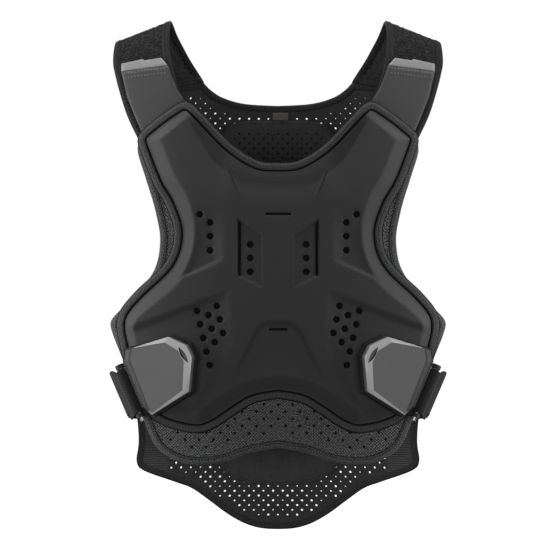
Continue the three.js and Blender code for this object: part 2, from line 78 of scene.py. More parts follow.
def depthAt(body, z):
    drop = -np.array(body["heights"], float)
    return catmull(body["depths"], np.interp(-z, drop, np.arange(len(drop))))


def crestAt(x):
    return torso["crest"] - torso["fall"] * (np.abs(x) - torso["fallFrom"])


def riseAt(x, z):
    return np.clip(1 + (z - crestAt(x)) / torso["archHeight"], 0, 1)


def torsoY(body, x, z):
    around = np.sqrt(np.clip(1 - (x / torso["halfBreadth"]) ** 2, 0, 1))
    arch = np.sqrt(1 - riseAt(x, z) ** torso["archPower"])
    return body["side"] * depthAt(body, z) * around * arch


# place on the chest or the spine: x and z of the front view, height above the torso
def layOn(body):
    def place(x, z, height):
        nudge = 0.5
        slopeX = torsoY(body, x + nudge, z) - torsoY(body, x - nudge, z)
        slopeZ = torsoY(body, x, z + nudge) - torsoY(body, x, z - nudge)
        lift = height * np.sqrt(1 + slopeX**2 + slopeZ**2)
        return np.stack((x, torsoY(body, x, z) + body["side"] * lift, z), 1)

    return place


onChest = layOn(chest)
onSpine = layOn(spine)

# shoulder strap rows: side, inner x and z, outer x and z
strapRows = (
    (-1, 87, -94, 128, -134),
    (-1, 98, -65, 146, -96),
    (-1, 104, -38, 158, -58),
    (-1, 105.6, -15, 161, -37),
    (1, 102, -10, 157, -34),
    (1, 91, -31, 148, -52),
    (1, 76, -54.8, 138, -68),
)
strapSize = dict(halfWidth=28, length=230)


def shoulderAngle(side, x, z):
    return side * np.arccos(riseAt(x, z) ** (torso["archPower"] / 2))


strapNumbers = np.array(
    [
        (inX, outX, shoulderAngle(side, inX, inZ), shoulderAngle(side, outX, outZ))
        for side, inX, inZ, outX, outZ in strapRows
    ]
)


def strapSpot(across, along):
    place = along * (len(strapRows) - 1)
    inX, outX, inAngle, outAngle = (catmull(column, place) for column in strapNumbers.T)
    x = inX + (outX - inX) * across
    angle = inAngle + (outAngle - inAngle) * across
    z = crestAt(x) - torso["archHeight"] * (1 - np.cos(angle) ** (2 / torso["archPower"]))
    depth = np.where(angle < 0, depthAt(chest, z), depthAt(spine, z))
    around = np.sqrt(1 - (x / torso["halfBreadth"]) ** 2)
    return np.stack((x, depth * around * np.sin(angle), z), 1)


# place on the right shoulder: millimetres across from the strap's middle, and along it
def onStrap(u, v, height):
    across = (u / strapSize["halfWidth"] + 1) / 2
    along = v / strapSize["length"]
    nudge = 0.002
    ahead = strapSpot(across, along + nudge) - strapSpot(across, along - nudge)
    aside = strapSpot(across + nudge, along) - strapSpot(across - nudge, along)
    return strapSpot(across, along) + unit(np.cross(aside, ahead)) * np.asarray(height)[:, None]


# distance along a line up to each of its points
def wayAlong(line):
    return np.concatenate(([0], np.cumsum(np.linalg.norm(np.diff(line, axis=0), axis=1))))


def alongAt(line, way, stops):
    return np.stack([np.interp(stops, way, column) for column in line.T], 1)


def spaced(line, step):
    way = wayAlong(line)
    return alongAt(line, way, np.linspace(0, way[-1], max(1, round(way[-1] / step)) + 1))


# curve through the given points, and the place among them of each point of the curve
def curveThrough(points, steps):
    points = np.array(points, float)
    dense = np.linspace(0, len(points) - 1, steps * (len(points) - 1) + 1)
    return np.stack([catmull(column, dense) for column in points.T], 1), dense


# outlines: right half in runs of x and z, mirrored to the left
def spline(run, step):
    return spaced(curveThrough(run, 40)[0], step)


def mirrored(runs, step):
    right = np.concatenate([spline(run, step)[:-1] for run in runs] + [np.array(runs[-1][-1:], float)])
    return np.concatenate((right, right[1:-1][::-1] * (-1, 1)))


def softened(loop, passes):
    for _ in range(passes):
        loop = (np.roll(loop, 1, 0) + 2 * loop + np.roll(loop, -1, 0)) / 4
    return loop


# distance from spots to a line, and the nearest point on it
def nearest(line, spots, closed=True):
    starts = line if closed else line[:-1]
    runs = (np.roll(line, -1, 0) if closed else line[1:]) - starts
    squares = np.maximum((runs**2).sum(1), 1e-12)
    far, feet = [], []
    for some in np.array_split(spots, max(1, len(spots) // 3000)):
        apart = some[:, None] - starts
        share = np.clip((apart * runs).sum(2) / squares, 0, 1)
        foot = starts + share[:, :, None] * runs
        gap = np.linalg.norm(some[:, None] - foot, axis=2)
        best = gap.argmin(1)
        row = np.arange(len(some))
        far.append(gap[row, best])
        feet.append(foot[row, best])
    return np.concatenate(far), np.concatenate(feet)


# distance inside an outline, negative outside, and the nearest point of the outline
def insideBy(loop, spots):
    far, feet = nearest(loop, spots)
    after = np.roll(loop, -1, 0)
    odd = np.zeros(len(spots), bool)
    for (ax, az), (bx, bz) in zip(loop, after):
        if az == bz:
            continue
        crosses = (az > spots[:, 1]) != (bz > spots[:, 1])
        odd ^= crosses & (spots[:, 0] < ax + (spots[:, 1] - az) * (bx - ax) / (bz - az))
    return np.where(odd, far, -far), feet


# clockwise outline moved inwards, with as many corners; folded corners close up on good ones
def inset(loop, distance):
    if distance == 0:
        return loop.copy()
    into = unit(loop - np.roll(loop, 1, 0))
    middle = unit(into + np.roll(into, -1, 0))
    stretch = distance / np.maximum(0.5, (middle * into).sum(1))
    moved = loop + np.stack((middle[:, 1], -middle[:, 0]), 1) * stretch[:, None]
    good = np.flatnonzero(nearest(loop, moved)[0] >= abs(distance) * 0.985)
    index = np.arange(len(loop))
    gap = np.abs(index[:, None] - good)
    gap = np.minimum(gap, len(loop) - gap)
    return moved[good[gap.argmin(1)]]


# flat grid of square cells, turned by an angle
def flatGrid(low, high, step, turn=0.0):
    low, high = np.array(low, float), np.array(high, float)
    middle = (low + high) / 2
    half = (high - low) / 2
    if turn:
        half = np.full(2, half.sum() * math.sqrt(0.5))
    counts = np.ceil(2 * half / step).astype(int)
    half = counts * step / 2
    bm = bmesh.new()
    stretch = Matrix.Diagonal((half[0], half[1], 1, 1))
    where = Matrix.Translation((middle[0], middle[1], 0)) @ Matrix.Rotation(turn, 4, "Z") @ stretch
    bmesh.ops.create_grid(bm, x_segments=int(counts[0]), y_segments=int(counts[1]), size=1, matrix=where)
    return bm


def flatOf(verts):
    return np.array([v.co[:] for v in verts], float).reshape(-1, 3)


# keeps the cells inside an outline and draws the border onto it
def cutOut(bm, loop, edge=0.0, corners=()):
    centres = np.array([f.calc_center_median()[:2] for f in bm.faces])
    inside = insideBy(loop, centres)[0]
    outside = [f for f, d in zip(bm.faces, inside) if d < edge]
    bmesh.ops.delete(bm, geom=outside, context="FACES")
    border = [v for v in bm.verts if v.is_boundary]
    spots = flatOf(border)[:, :2]
    depth, feet = insideBy(loop, spots)
    inward = (spots - feet) / np.where(np.abs(depth) < 1e-6, 1e-6, depth)[:, None]
    for v, (x, z) in zip(border, feet + inward * edge):
        v.co.x, v.co.y = x, z
    for x, z in corners:
        near = min(border, key=lambda v: (v.co.x - x) ** 2 + (v.co.y - z) ** 2)
        near.co.x, near.co.y = x, z
    return border


# verts, edges or faces out of what an operator made
def only(kind, geom):
    return [g for g in geom if isinstance(g, kind)]


# keeps each vertex's flat place as its UV
def keepUv(bm, spots=None):
    layer = bm.loops.layers.uv.verify()
    bm.verts.index_update()
    flat = flatOf(bm.verts)[:, :2] if spots is None else spots
    flat = flat * mm * uvMetre
    for face in bm.faces:
        for corner in face.loops:
            corner[layer].uv = flat[corner.vert.index]


# bends the flat mesh onto its place, mirrored for the left side
def bendOver(bm, place, sign=1):
    flat = flatOf(bm.verts)
    spots = place(flat[:, 0], flat[:, 1], flat[:, 2]) * mm
    for v, co in zip(bm.verts, spots):
        v.co = (sign * co[0], co[1], co[2])


def asObject(name, bm):
    mesh = bpy.data.meshes.new(name)
    bm.to_mesh(mesh)
    bm.free()
    made = bpy.data.objects.new(name, mesh)
    bpy.context.scene.collection.objects.link(made)
    return made


def asPiece(name, bm, lookNames, nodes=(), sharp=None):
    piece = asObject(name, bm)
    piece.data.shade_smooth()
    if sharp:
        piece.data.set_sharp_from_angle(angle=math.radians(sharp))
    for look in lookNames:
        piece.data.materials.append(looks[look])
    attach(piece, "root")
    if nodes:
        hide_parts(*nodes)
    return piece


def thicken(piece, thickness, levels=0, lined=False):
    if levels:
        rounder = piece.modifiers.new("rounder", "SUBSURF")
        rounder.levels = rounder.render_levels = levels
    wall = piece.modifiers.new("thickness", "SOLIDIFY")
    wall.thickness = thickness * mm
    wall.offset = -1
    wall.material_offset = int(lined)


# a flat mesh put in its place, its faces turned over where the place mirrors them
def settle(bm, place, sign=1, turned=False, flat=None):
    keepUv(bm, flat)
    bendOver(bm, place, sign)
    if turned or sign < 0:
        bmesh.ops.reverse_faces(bm, faces=bm.faces[:])


# grid to be rolled into a tube, with the column and row of each vertex
def tubeGrid(columns, rows):
    bm = bmesh.new()
    bmesh.ops.create_grid(bm, x_segments=columns, y_segments=rows, size=1)
    return bm, {v: (round((v.co.x + 1) / 2 * columns), round((v.co.y + 1) / 2 * rows)) for v in bm.verts}


tapeRowUv = 2.0  # mm of tape between two rows of its section


# tape folded over an edge: section points are distance in from the outline and height
def foldTape(loop, section, place, sign=1, paintedShadeRows=(0,)):
    rings = [inset(loop, d) for d, _ in section]
    around, over = len(loop), len(section)
    bm, grid = tubeGrid(around, over)
    way = wayAlong(np.concatenate((loop, loop[:1])))
    for v, (i, k) in grid.items():
        v.co = (*rings[k % over][i % around], section[k % over][1])
    # painted shade: faces of the listed rows take the piece's second look, a dark strip where the tape or flange
    # meets what lies beside or under it
    for f in bm.faces:
        f.material_index = int(min(grid[v][1] for v in f.verts) in paintedShadeRows)
    keepUv(bm, np.array([(way[i], tapeRowUv * k) for i, k in grid.values()]))
    bmesh.ops.remove_doubles(bm, verts=bm.verts[:], dist=1e-4)
    bendOver(bm, place, sign)
    bmesh.ops.recalc_face_normals(bm, faces=bm.faces[:])
    return bm


# small bead for a stitch or a rib
def addBead(bm, size, where):
    shape = Matrix.Diagonal((size["long"] / 2, size["wide"] / 2, size["high"] / 2, 1))
    bmesh.ops.create_icosphere(bm, subdivisions=1, radius=1, matrix=where @ shape)


# stitches along a flat line, sunk into the cloth at a height
def stitchAlong(bm, line, height, thread, closed=False):
    if closed:
        line = np.concatenate((line, line[:1]))
    stops = spaced(line, thread["pitch"])
    for a, b in zip(stops[:-1], stops[1:]):
        turn = Matrix.Rotation(math.atan2(b[1] - a[1], b[0] - a[0]), 4, "Z")
        addBead(bm, thread, Matrix.Translation((*(a + b) / 2, height)) @ turn)


# rows of stitches as one piece: flat lines with their heights
def sewRows(name, rows, thread, look, place, sign=1, turned=False, closed=False):
    bm = bmesh.new()
    for line, height in rows:
        stitchAlong(bm, line, height, thread, closed)
    settle(bm, place, sign, turned)
    return asPiece(name, bm, [look])


threadRise = 0.05  # middle of a stitch above its tape
print("shape tools ready")


# group with a Vector and named values in, Height and Tone out
def newGroup(name, values):
    tree = bpy.data.node_groups.new(name, "ShaderNodeTree")
    tree.interface.new_socket("Vector", in_out="INPUT", socket_type="NodeSocketVector")
    for label, value in values.items():
        tree.interface.new_socket(label, in_out="INPUT", socket_type="NodeSocketFloat").default_value = value
    for label in ("Height", "Tone"):
        tree.interface.new_socket(label, in_out="OUTPUT", socket_type="NodeSocketFloat")
    return tree, tree.nodes.new("NodeGroupInput").outputs, tree.nodes.new("NodeGroupOutput").inputs


# a number, or another node's output, into a socket
def feed(tree, value, socket):
    if isinstance(value, (int, float)):
        socket.default_value = value
    else:
        tree.links.new(value, socket)


def addMath(tree, operation, first, second=0.0):
    node = tree.nodes.new("ShaderNodeMath")
    node.operation = operation
    feed(tree, first, node.inputs[0])
    feed(tree, second, node.inputs[1])
    return node.outputs[0]


def addScale(tree, source, factor):
    node = tree.nodes.new("ShaderNodeVectorMath")
    node.operation = "SCALE"
    feed(tree, source, node.inputs[0])
    feed(tree, factor, node.inputs["Scale"])
    return node.outputs[0]


def addNoise(tree, source, scale, detail, roughness=0.5):
    node = tree.nodes.new("ShaderNodeTexNoise")
    for label, value in (("Vector", source), ("Scale", scale), ("Detail", detail), ("Roughness", roughness)):
        feed(tree, value, node.inputs[label])
    return node.outputs["Fac"]


def addCells(tree, source, scale, feature):
    node = tree.nodes.new("ShaderNodeTexVoronoi")
    node.feature = feature
    feed(tree, source, node.inputs["Vector"])
    feed(tree, scale, node.inputs["Scale"])
    return node


# over and under threads, pitch in threads per unit
def makeWeave():
    tree, given, put = newGroup("weave", dict(Threads=120.0, Rib=0.5, Check=0.35, Slub=0.5))
    place = addScale(tree, given["Vector"], given["Threads"])
    split = tree.nodes.new("ShaderNodeSeparateXYZ")
    feed(tree, place, split.inputs[0])
    warp, weft = (addMath(tree, "SINE", addMath(tree, "MULTIPLY", split.outputs[i], math.pi)) for i in (0, 1))
    crossing = addMath(tree, "MULTIPLY", addMath(tree, "MULTIPLY", warp, weft), given["Check"])
    ribs = addMath(tree, "MULTIPLY", addMath(tree, "ABSOLUTE", weft), given["Rib"])
    slub = addMath(tree, "SUBTRACT", addNoise(tree, place, 1.2, 4), 0.5)
    uneven = addMath(tree, "MULTIPLY", slub, given["Slub"])
    height = addMath(tree, "ADD", addMath(tree, "ADD", crossing, ribs), uneven)
    feed(tree, height, put["Height"])
    mottled = addMath(tree, "MULTIPLY", addMath(tree, "ADD", height, uneven), 0.5)
    feed(tree, addMath(tree, "ADD", mottled, 0.35), put["Tone"])
    return tree


# open knit of small round cells
def makeKnit():
    tree, given, put = newGroup("knit", dict(Cells=60.0, Disorder=0.25))
    cells = addCells(tree, given["Vector"], given["Cells"], "F1")
    feed(tree, given["Disorder"], cells.inputs["Randomness"])
    feed(tree, cells.outputs["Distance"], put["Height"])
    drift = addMath(tree, "MULTIPLY", addNoise(tree, given["Vector"], 9, 6), 0.35)
    feed(tree, addMath(tree, "ADD", addMath(tree, "MULTIPLY", cells.outputs["Distance"], 0.9), drift), put["Tone"])
    return tree


# upright loops of pile, each shaded down to its foot
def makeLoops():
    tree, given, put = newGroup("loops", dict(Loops=60.0, Cloud=8.0))
    cells = addCells(tree, given["Vector"], given["Loops"], "SMOOTH_F1")
    cells.inputs["Smoothness"].default_value = 0.15
    rise = addMath(tree, "SUBTRACT", 1.0, addMath(tree, "MULTIPLY", cells.outputs["Distance"], 1.3))
    feed(tree, rise, put["Height"])
    picked = addMath(tree, "MULTIPLY", addMath(tree, "MULTIPLY", rise, rise), cells.outputs["Color"])
    cloud = addMath(tree, "MULTIPLY", addNoise(tree, given["Vector"], given["Cloud"], 5), 1.6)
    feed(tree, addMath(tree, "MULTIPLY", picked, addMath(tree, "ADD", cloud, 0.4)), put["Tone"])
    return tree


# uneven grain of moulded rubber, plastic and metal
def makeGrain():
    tree, given, put = newGroup("grain", dict(Grains=90.0, Cloud=4.0))
    fine = addNoise(tree, given["Vector"], given["Grains"], 5, 0.65)
    broad = addNoise(tree, given["Vector"], given["Cloud"], 3)
    feed(tree, fine, put["Height"])
    feed(tree, addMath(tree, "MULTIPLY", addMath(tree, "ADD", fine, broad), 0.5), put["Tone"])
    return tree


groups = dict(weave=makeWeave(), knit=makeKnit(), loops=makeLoops(), grain=makeGrain())

# finishes: values of the node group, the two tones that it mixes, roughness and the bump's depth in mm
threadFinish = dict(grain=(300, 20), rough=(0.6, 0.8), bump=0.05)
# finish of the dark looks that paint shade in hollows: dimple and ventShade
shadeFinish = dict(grain=(90, 9), rough=(0.9, 1.0), bump=0.1)
plasticFinish = dict(grain=(160, 5), bump=0.03)
coverTint = (1.0, 0.98, 0.985)
finishes = dict(
    # plate: shaded is how dark its painted shade gets, multiplied into its colour by the shade attribute
    plate=dict(weave=(72, 0.5, 0.1), tones=(0.016, 0.037), shaded=0.15, rough=(0.62, 0.85), bump=0.1, sheen=0.1),
    mesh=dict(weave=(70, 0.1, 0.9, 3.8), tones=(0.002, 0.19), rough=(0.7, 0.95), bump=0.5),
    backMesh=dict(knit=(75, 0.4), tones=(0.012, 0.04), rough=(0.7, 0.95), bump=0.4, sheen=0.1),
    elastic=dict(weave=(43, 1.1, 0.0), tones=(0.01, 0.06), rough=(0.65, 0.9), bump=0.6, sheen=0.1),
    lining=dict(knit=(110, 0.5), tones=(0.012, 0.056), rough=(0.75, 0.95), bump=0.3),
    strapLining=dict(knit=(19, 0.3), tones=(0.001, 0.034), rough=(0.75, 0.95), bump=0.2, sheen=0.1),
    binding=dict(weave=(70, 0.6, 0.6, 2.6), tones=(0.003, 0.036), rough=(0.6, 0.85), bump=0.25),
    strapTape=dict(weave=(70, 0.6, 0.6, 2.6), tones=(0.002, 0.015), rough=(0.6, 0.85), bump=0.25),
    hem=dict(weave=(66, 0.6, 0.6, 3.2), tones=(0.006, 0.085), rough=(0.6, 0.85), bump=0.25, sheen=0.1),
    flange=dict(weave=(66, 0.4, 0.5, 2.8), tones=(0.006, 0.06), rough=(0.6, 0.85), bump=0.2, sheen=0.05),
    tab=dict(weave=(70, 0.4, 0.3, 0.9), tones=(0.024, 0.046), rough=(0.55, 0.8), bump=0.15, sheen=0.1),
    pile=dict(loops=(46, 9), tones=(0.001, 0.065), rough=(0.85, 1.0), bump=1.2),
    webbing=dict(weave=(75, 0.9, 0.6), tones=(0.008, 0.034), rough=(0.6, 0.85), bump=0.3),
    label=dict(
        weave=(160, 0.6, 0.4), tones=(0.06, 0.11), tint=(1.0, 0.88, 0.82), rough=(0.5, 0.7), bump=0.06, sheen=0.1,
    ),
    # dark thread look: dark stitches, and also painted shade on the inner edge strip of the edge tapes
    darkThreadAndShade=dict(tones=(0.003, 0.01), **threadFinish),
    greyThread=dict(tones=(0.05, 0.08), **threadFinish),
    paleThread=dict(tones=(0.11, 0.17), **threadFinish),
    tip=dict(grain=(120, 6), tones=(0.165, 0.22), rough=(0.42, 0.55), bump=0.04, specular=0.5),
    cover=dict(tones=(0.085, 0.115), tint=coverTint, rough=(0.36, 0.48), specular=0.5, **plasticFinish),
    coverEdge=dict(tones=(0.3, 0.38), tint=(1.0, 0.99, 0.99), rough=(0.3, 0.42), specular=0.5, **plasticFinish),
    # painted shade: a darker copy of the cover for its rolled outer side
    coverSideShade=dict(tones=(0.03, 0.042), tint=coverTint, rough=(0.55, 0.7), **plasticFinish),
    base=dict(grain=(140, 5), tones=(0.004, 0.009), rough=(0.5, 0.65), bump=0.05, specular=0.3, source="Object"),
    dimple=dict(tones=(0.008, 0.014), **shadeFinish),
    ventShade=dict(tones=(0.002, 0.005), **shadeFinish),
    steel=dict(
        grain=(220, 8), tones=(0.25, 0.35), tint=(1.0, 0.94, 0.94), rough=(0.22, 0.36), bump=0.02,
        specular=0.5, metallic=0.35,
    ),
)
coolTint = (1, 1.01, 1.03)


def makeLook(name, finish):
    look = bpy.data.materials.new(name)
    look.use_nodes = True
    tree = look.node_tree
    shader = tree.nodes["Principled BSDF"]
    place = tree.nodes.new("ShaderNodeTexCoord").outputs[finish.get("source", "UV")]
    if "source" in finish:  # solids of the frame have no UV
        place = addScale(tree, place, uvMetre)
    effect = tree.nodes.new("ShaderNodeGroup")
    kind = next(kind for kind in groups if kind in finish)
    effect.node_tree = groups[kind]
    feed(tree, place, effect.inputs["Vector"])
    for socket, value in zip(list(effect.inputs)[1:], finish[kind]):
        socket.default_value = value
    mix = tree.nodes.new("ShaderNodeMix")
    mix.data_type = "RGBA"
    for socket, grey in zip((mix.inputs[6], mix.inputs[7]), finish["tones"]):
        socket.default_value = (*(grey * share for share in finish.get("tint", coolTint)), 1)
    feed(tree, effect.outputs["Tone"], mix.inputs["Factor"])
    tone = mix.outputs[2]
    # painted shade: the colour is multiplied down by the piece's shade attribute
    if "shaded" in finish:  # darker by the shade attribute of the piece
        marked = tree.nodes.new("ShaderNodeAttribute")
        marked.attribute_name = "shade"
        dim = tree.nodes.new("ShaderNodeMix")
        dim.data_type, dim.blend_type = "RGBA", "MULTIPLY"
        dim.inputs[7].default_value = (*(finish["shaded"],) * 3, 1)
        feed(tree, marked.outputs["Fac"], dim.inputs["Factor"])
        feed(tree, tone, dim.inputs[6])
        tone = dim.outputs[2]
    feed(tree, tone, shader.inputs["Base Color"])
    spread = tree.nodes.new("ShaderNodeMapRange")
    spread.inputs["To Min"].default_value, spread.inputs["To Max"].default_value = finish["rough"]
    feed(tree, effect.outputs["Tone"], spread.inputs["Value"])
    feed(tree, spread.outputs["Result"], shader.inputs["Roughness"])
    bump = tree.nodes.new("ShaderNodeBump")
    bump.inputs["Distance"].default_value = finish["bump"] * mm
    bump.inputs["Strength"].default_value = 1
    feed(tree, effect.outputs["Height"], bump.inputs["Height"])
    feed(tree, bump.outputs["Normal"], shader.inputs["Normal"])
    shader.inputs["Metallic"].default_value = finish.get("metallic", 0)
    shader.inputs["Sheen Weight"].default_value = finish.get("sheen", 0)
    shader.inputs["Specular IOR Level"].default_value = finish.get("specular", 0.2)
    return look


looks = {name: makeLook(name, finish) for name, finish in finishes.items()}
print("finishes ready", len(looks))

# front panel: perforated mesh on the chest, x and z of the right half
frontPanel = dict(
    look="mesh", pitch=13.8, holes=(1.0, 1.2), top=10.4, thickness=1.6, edge=2.2, sink=1.3, blindBelow=-325,
    tape=6.6, tapeLow=7.5, tapeHigh=11.0, tapeLook="hem", clear=9.5,
)
frontRuns = (
    ((0, -146), (19, -144.4), (38, -134.6), (53.4, -120.6), (73, -100.8), (89, -84)),
    ((89, -84), (110.6, -99), (133.4, -117.5)),
    (
        (133.4, -117.5), (136.8, -132), (128.6, -159), (119, -190), (114, -221), (121.7, -252),
        (149.6, -283), (162.5, -297), (161.8, -308.6), (151.6, -333.7), (138.6, -366.4), (127.7, -399),
        (115.9, -421), (94.4, -433.2), (72.1, -435.2), (49, -431.6), (26.9, -423.7), (0, -418.8),
    ),
)
plateRuns = (
    ((0, -154.2), (19.2, -152.7), (37.2, -143.8), (54.6, -130.3), (72.6, -111.2), (90, -92.8)),
    ((90, -92.8), (109.8, -106), (128.6, -121)),
    (
        (128.6, -121), (113, -160.3), (99.7, -183.7), (91.3, -213.6), (100.9, -245.3), (133.3, -277.1),
        (147.4, -296.6), (145.2, -318.8), (134.3, -354.4), (115.6, -385), (82.1, -395.8), (65.5, -392.2),
        (45.5, -378.9), (25.7, -367.2), (0, -362.2),
    ),
)
outlineStep = 3.0
frontLoop = mirrored(frontRuns, outlineStep)
plateLoop = softened(mirrored(plateRuns, outlineStep / 2), 5)


# ribbed elastic at the lower corners of the back
elasticCorner = dict(x=113, z=-400)


def atElastic(spot):
    return abs(spot[0]) > elasticCorner["x"] and spot[1] < elasticCorner["z"]


holeSeed = 4


# sheet with a diamond lattice of holes, kept clear where the panel is plain; low ones are blind, sunk and given the
# dark ventShade look as painted shade in place of an open hole
def meshPanel(name, loop, panel, place, turned, plain, nodes):
    side = panel["pitch"] * math.sqrt(0.5)
    bm = flatGrid(loop.min(0), loop.max(0), side, math.radians(45))
    border = set(cutOut(bm, loop, panel["edge"]))
    whole = [f for f in bm.faces if border.isdisjoint(f.verts)]
    centres = np.array([f.calc_center_median()[:2] for f in whole])
    holed = [f for f, skip in zip(whole, plain(centres)) if not skip]
    sizes = np.random.default_rng(holeSeed).integers(len(panel["holes"]), size=len(holed))
    for i, hole in enumerate(panel["holes"]):
        some = [f for f, size in zip(holed, sizes) if size == i]
        bmesh.ops.inset_individual(bm, faces=some, thickness=side / 2 - hole, use_even_offset=True)
    blind = [f for f in holed if f.calc_center_median().y < panel["blindBelow"]]
    sunk = {v for f in blind for v in f.verts}
    for v in bm.verts:
        v.co.z = panel["top"] - (panel["sink"] if v in sunk else 0)
    for f in bm.faces:
        f.material_index = 2 if atElastic(f.calc_center_median()) else 0
    # painted shade: the blind holes take the dark second look
    for f in blind:
        f.material_index = 1
    bmesh.ops.delete(bm, geom=list(set(holed) - set(blind)), context="FACES")
    settle(bm, place, turned=turned)
    piece = asPiece(name, bm, (panel["look"], "ventShade", "elastic"), nodes)
    thicken(piece, panel["thickness"], 1)
    return piece


# folded edge tape in section, from its inner edge over the rim and back under
def tapeSection(width, low, high):
    over = ((width + 0.9, -0.3), (width, -0.3), (width - 0.5, -0.1), (width * 0.6, 0.0), (1.4, -0.1), (0.35, -0.6))
    under = [(d, low - drop) for d, drop in over[::-1]]
    return [(d, high + drop) for d, drop in over] + [(0.0, (low + high) / 2)] + under


bindingThread = dict(pitch=2.9, long=1.7, wide=1.4, high=0.8, inset=1.7)


def boundEdge(name, loop, panel, place, turned, nodes):
    section = tapeSection(panel["tape"], panel["tapeLow"], panel["tapeHigh"])
    # the tape's second look paints shade on its inner edge strip
    tape = asPiece(name, foldTape(loop, section, place), (panel["tapeLook"], "darkThreadAndShade"), nodes)
    row = (inset(loop, panel["tape"] - bindingThread["inset"]), panel["tapeHigh"] + threadRise)
    rows = sewRows(
        name + "_stitches", [row], bindingThread, "darkThreadAndShade", place, turned=turned, closed=True
    )
    return tape, rows


def underPlate(spots):
    return insideBy(plateLoop, spots)[0] > -frontPanel["clear"]


frontMesh = meshPanel("front_mesh", frontLoop, frontPanel, onChest, False, underPlate, ["front_panel"])
frontTape, frontRows = boundEdge("front_edge_tape", frontLoop, frontPanel, onChest, False, ["front_binding"])
print("front panel done")

# back panel: the same mesh on the spine
backPanel = dict(
    look="backMesh", pitch=10.0, holes=(0.85, 1.1, 1.35), top=6.8, thickness=2.8, edge=2.2, sink=0.0, blindBelow=-600,
    tape=6.2, tapeLow=3.4, tapeHigh=7.2, tapeLook="binding",
)
backRuns = (
    ((0, -78), (34.1, -76.2), (56.2, -70.5), (69, -62.9), (76.4, -55.4)),
    ((76.4, -55.4), (108, -60.4), (138, -68)),
    (
        (138, -68), (118, -110), (98, -160), (88, -222), (96, -286), (128, -338), (145, -362), (142.5, -420),
        (144.6, -443), (137.2, -453.4), (105.5, -466), (88.5, -472.9), (69.4, -486.9),
        (58, -495.8), (46.6, -503.6), (35.2, -509.8), (23.8, -513.9), (12.4, -515.9), (0, -516.4),
    ),
)
backLoop = mirrored(backRuns, outlineStep)


def plainCorner(spots):
    return np.array([atElastic(spot) for spot in spots])


backMesh = meshPanel("back_mesh", backLoop, backPanel, onSpine, True, plainCorner, ["back_panel"])
backTape, backRows = boundEdge("back_edge_tape", backLoop, backPanel, onSpine, True, ["back_binding"])
print("back panel done")

# inner back pad: crowned towards the wearer, dimpled at its neck end
backPad = dict(
    pitch=10.0, dimple=1.05, sink=1.0, dimplesAbove=-215, face=0.5, rim=2.6, roll=9.0, thickness=1.2,
    seam=3.2, seamSunk=0.9,
)
padRuns = (
    (
        (0, -93), (36, -94), (54, -102), (64, -124), (68, -200),
        (68, -330), (66, -430), (56, -456), (34, -467), (0, -471),
    ),
)
padLoop = mirrored(padRuns, outlineStep)
padThread = dict(pitch=3.4, long=2.4, wide=0.8, high=0.8)


def makePad():
    side = backPad["pitch"] * math.sqrt(0.5)
    bm = flatGrid(padLoop.min(0), padLoop.max(0), side, math.radians(45))
    border = set(cutOut(bm, padLoop))
    dimples = [
        f for f in bm.faces
        if border.isdisjoint(f.verts) and f.calc_center_median().y > backPad["dimplesAbove"]
    ]
    bmesh.ops.inset_individual(bm, faces=dimples, thickness=side / 2 - backPad["dimple"], use_even_offset=True)
    sunk = {v for f in dimples for v in f.verts}
    # painted shade: the dimples take the dark dimple look
    for f in dimples:
        f.material_index = 1
    flat = flatOf(bm.verts)[:, :2]
    inside = insideBy(padLoop, flat)[0]
    heights = backPad["rim"] + (backPad["face"] - backPad["rim"]) * smooth(0, backPad["roll"], inside)
    for v, height in zip(bm.verts, heights):
        v.co.z = height + (backPad["sink"] if v in sunk else 0)
    settle(bm, onSpine)
    piece = asPiece("back_lining_pad", bm, ("lining", "dimple"), ["back_pad"])
    thicken(piece, backPad["thickness"], 2)
    row = (inset(padLoop, backPad["seam"]), backPad["face"] + backPad["seamSunk"])
    sewRows("back_lining_stitches", [row], padThread, "darkThreadAndShade", onSpine, closed=True)


makePad()

# bare woven label inside the back of the neck
neckLabel = dict(
    low=(-5.4, -92.8), high=(10.6, -82.4), step=0.8, height=2.2, thickness=0.5,
    tuck=2.0, tuckFrom=-87, tuckTo=-84, belly=0.3, wave=0.6,
)


def makeLabel():
    bm = flatGrid(neckLabel["low"], neckLabel["high"], neckLabel["step"])
    for v in bm.verts:
        tucked = smooth(neckLabel["tuckFrom"], neckLabel["tuckTo"], v.co.y)  # its top is sewn in under the tape
        belly = neckLabel["belly"] * math.sin(v.co.x * neckLabel["wave"])
        v.co.z = neckLabel["height"] + neckLabel["tuck"] * tucked - belly
    settle(bm, onSpine)
    label = asPiece("neck_label", bm, ["label"])
    thicken(label, neckLabel["thickness"])


makeLabel()
print("back pad and label done")

# chest plate: moulded relief above the torso, in mm
plate = dict(
    step=1.25, base=11.2, rim=15.2, top=24.2, lip=1.5, round=0.1, sharp=55,
    ventRadius=4.0, ventDepth=7.5, chamfer=0.4,
)
bevelWidths = dict(neck=22.0, top=10.0, side=13.5, hem=14.0)
neckStart = 0.72  # share of the plate's height that stands at the neck edge
sideTaper = dict(by=5.5, start=-268, end=-312)  # the side bevel narrows towards the leg ends
legEnd = 9  # row of the side run where the hem begins
# recesses: outline, depth, width of the wall, and where each fades out and in
recesses = (
    dict(
        corners=((44, -175), (130, -150), (130, -273), (44, -236.2)), depth=3.8, wall=3.8,
        fades=(("bevel", 0.7, 1.2), ("z", -180, -226), ("x", 50.5, 64)),
    ),
    dict(
        corners=((47.7, -266.4), (165, -310.5), (165, -410), (87, -410), (39.1, -314)), depth=4.2, wall=7.0,
        fades=(("x", 34, 72),),
    ),
    dict(
        corners=((-30, -295.9), (9, -295.9), (16.5, -298), (22.5, -304.5), (60, -380), (-30, -380)),
        depth=3.8, wall=5.5, fades=(("z", -374, -330),),
    ),
    dict(
        corners=((-30, -130), (56, -130), (45.8, -153.8), (33.4, -183.4), (-30, -200)), depth=2.6, wall=1.3,
        fades=(("z", -188, -158), ("x", 53, 46), ("neck", 4, 18)),
    ),
)
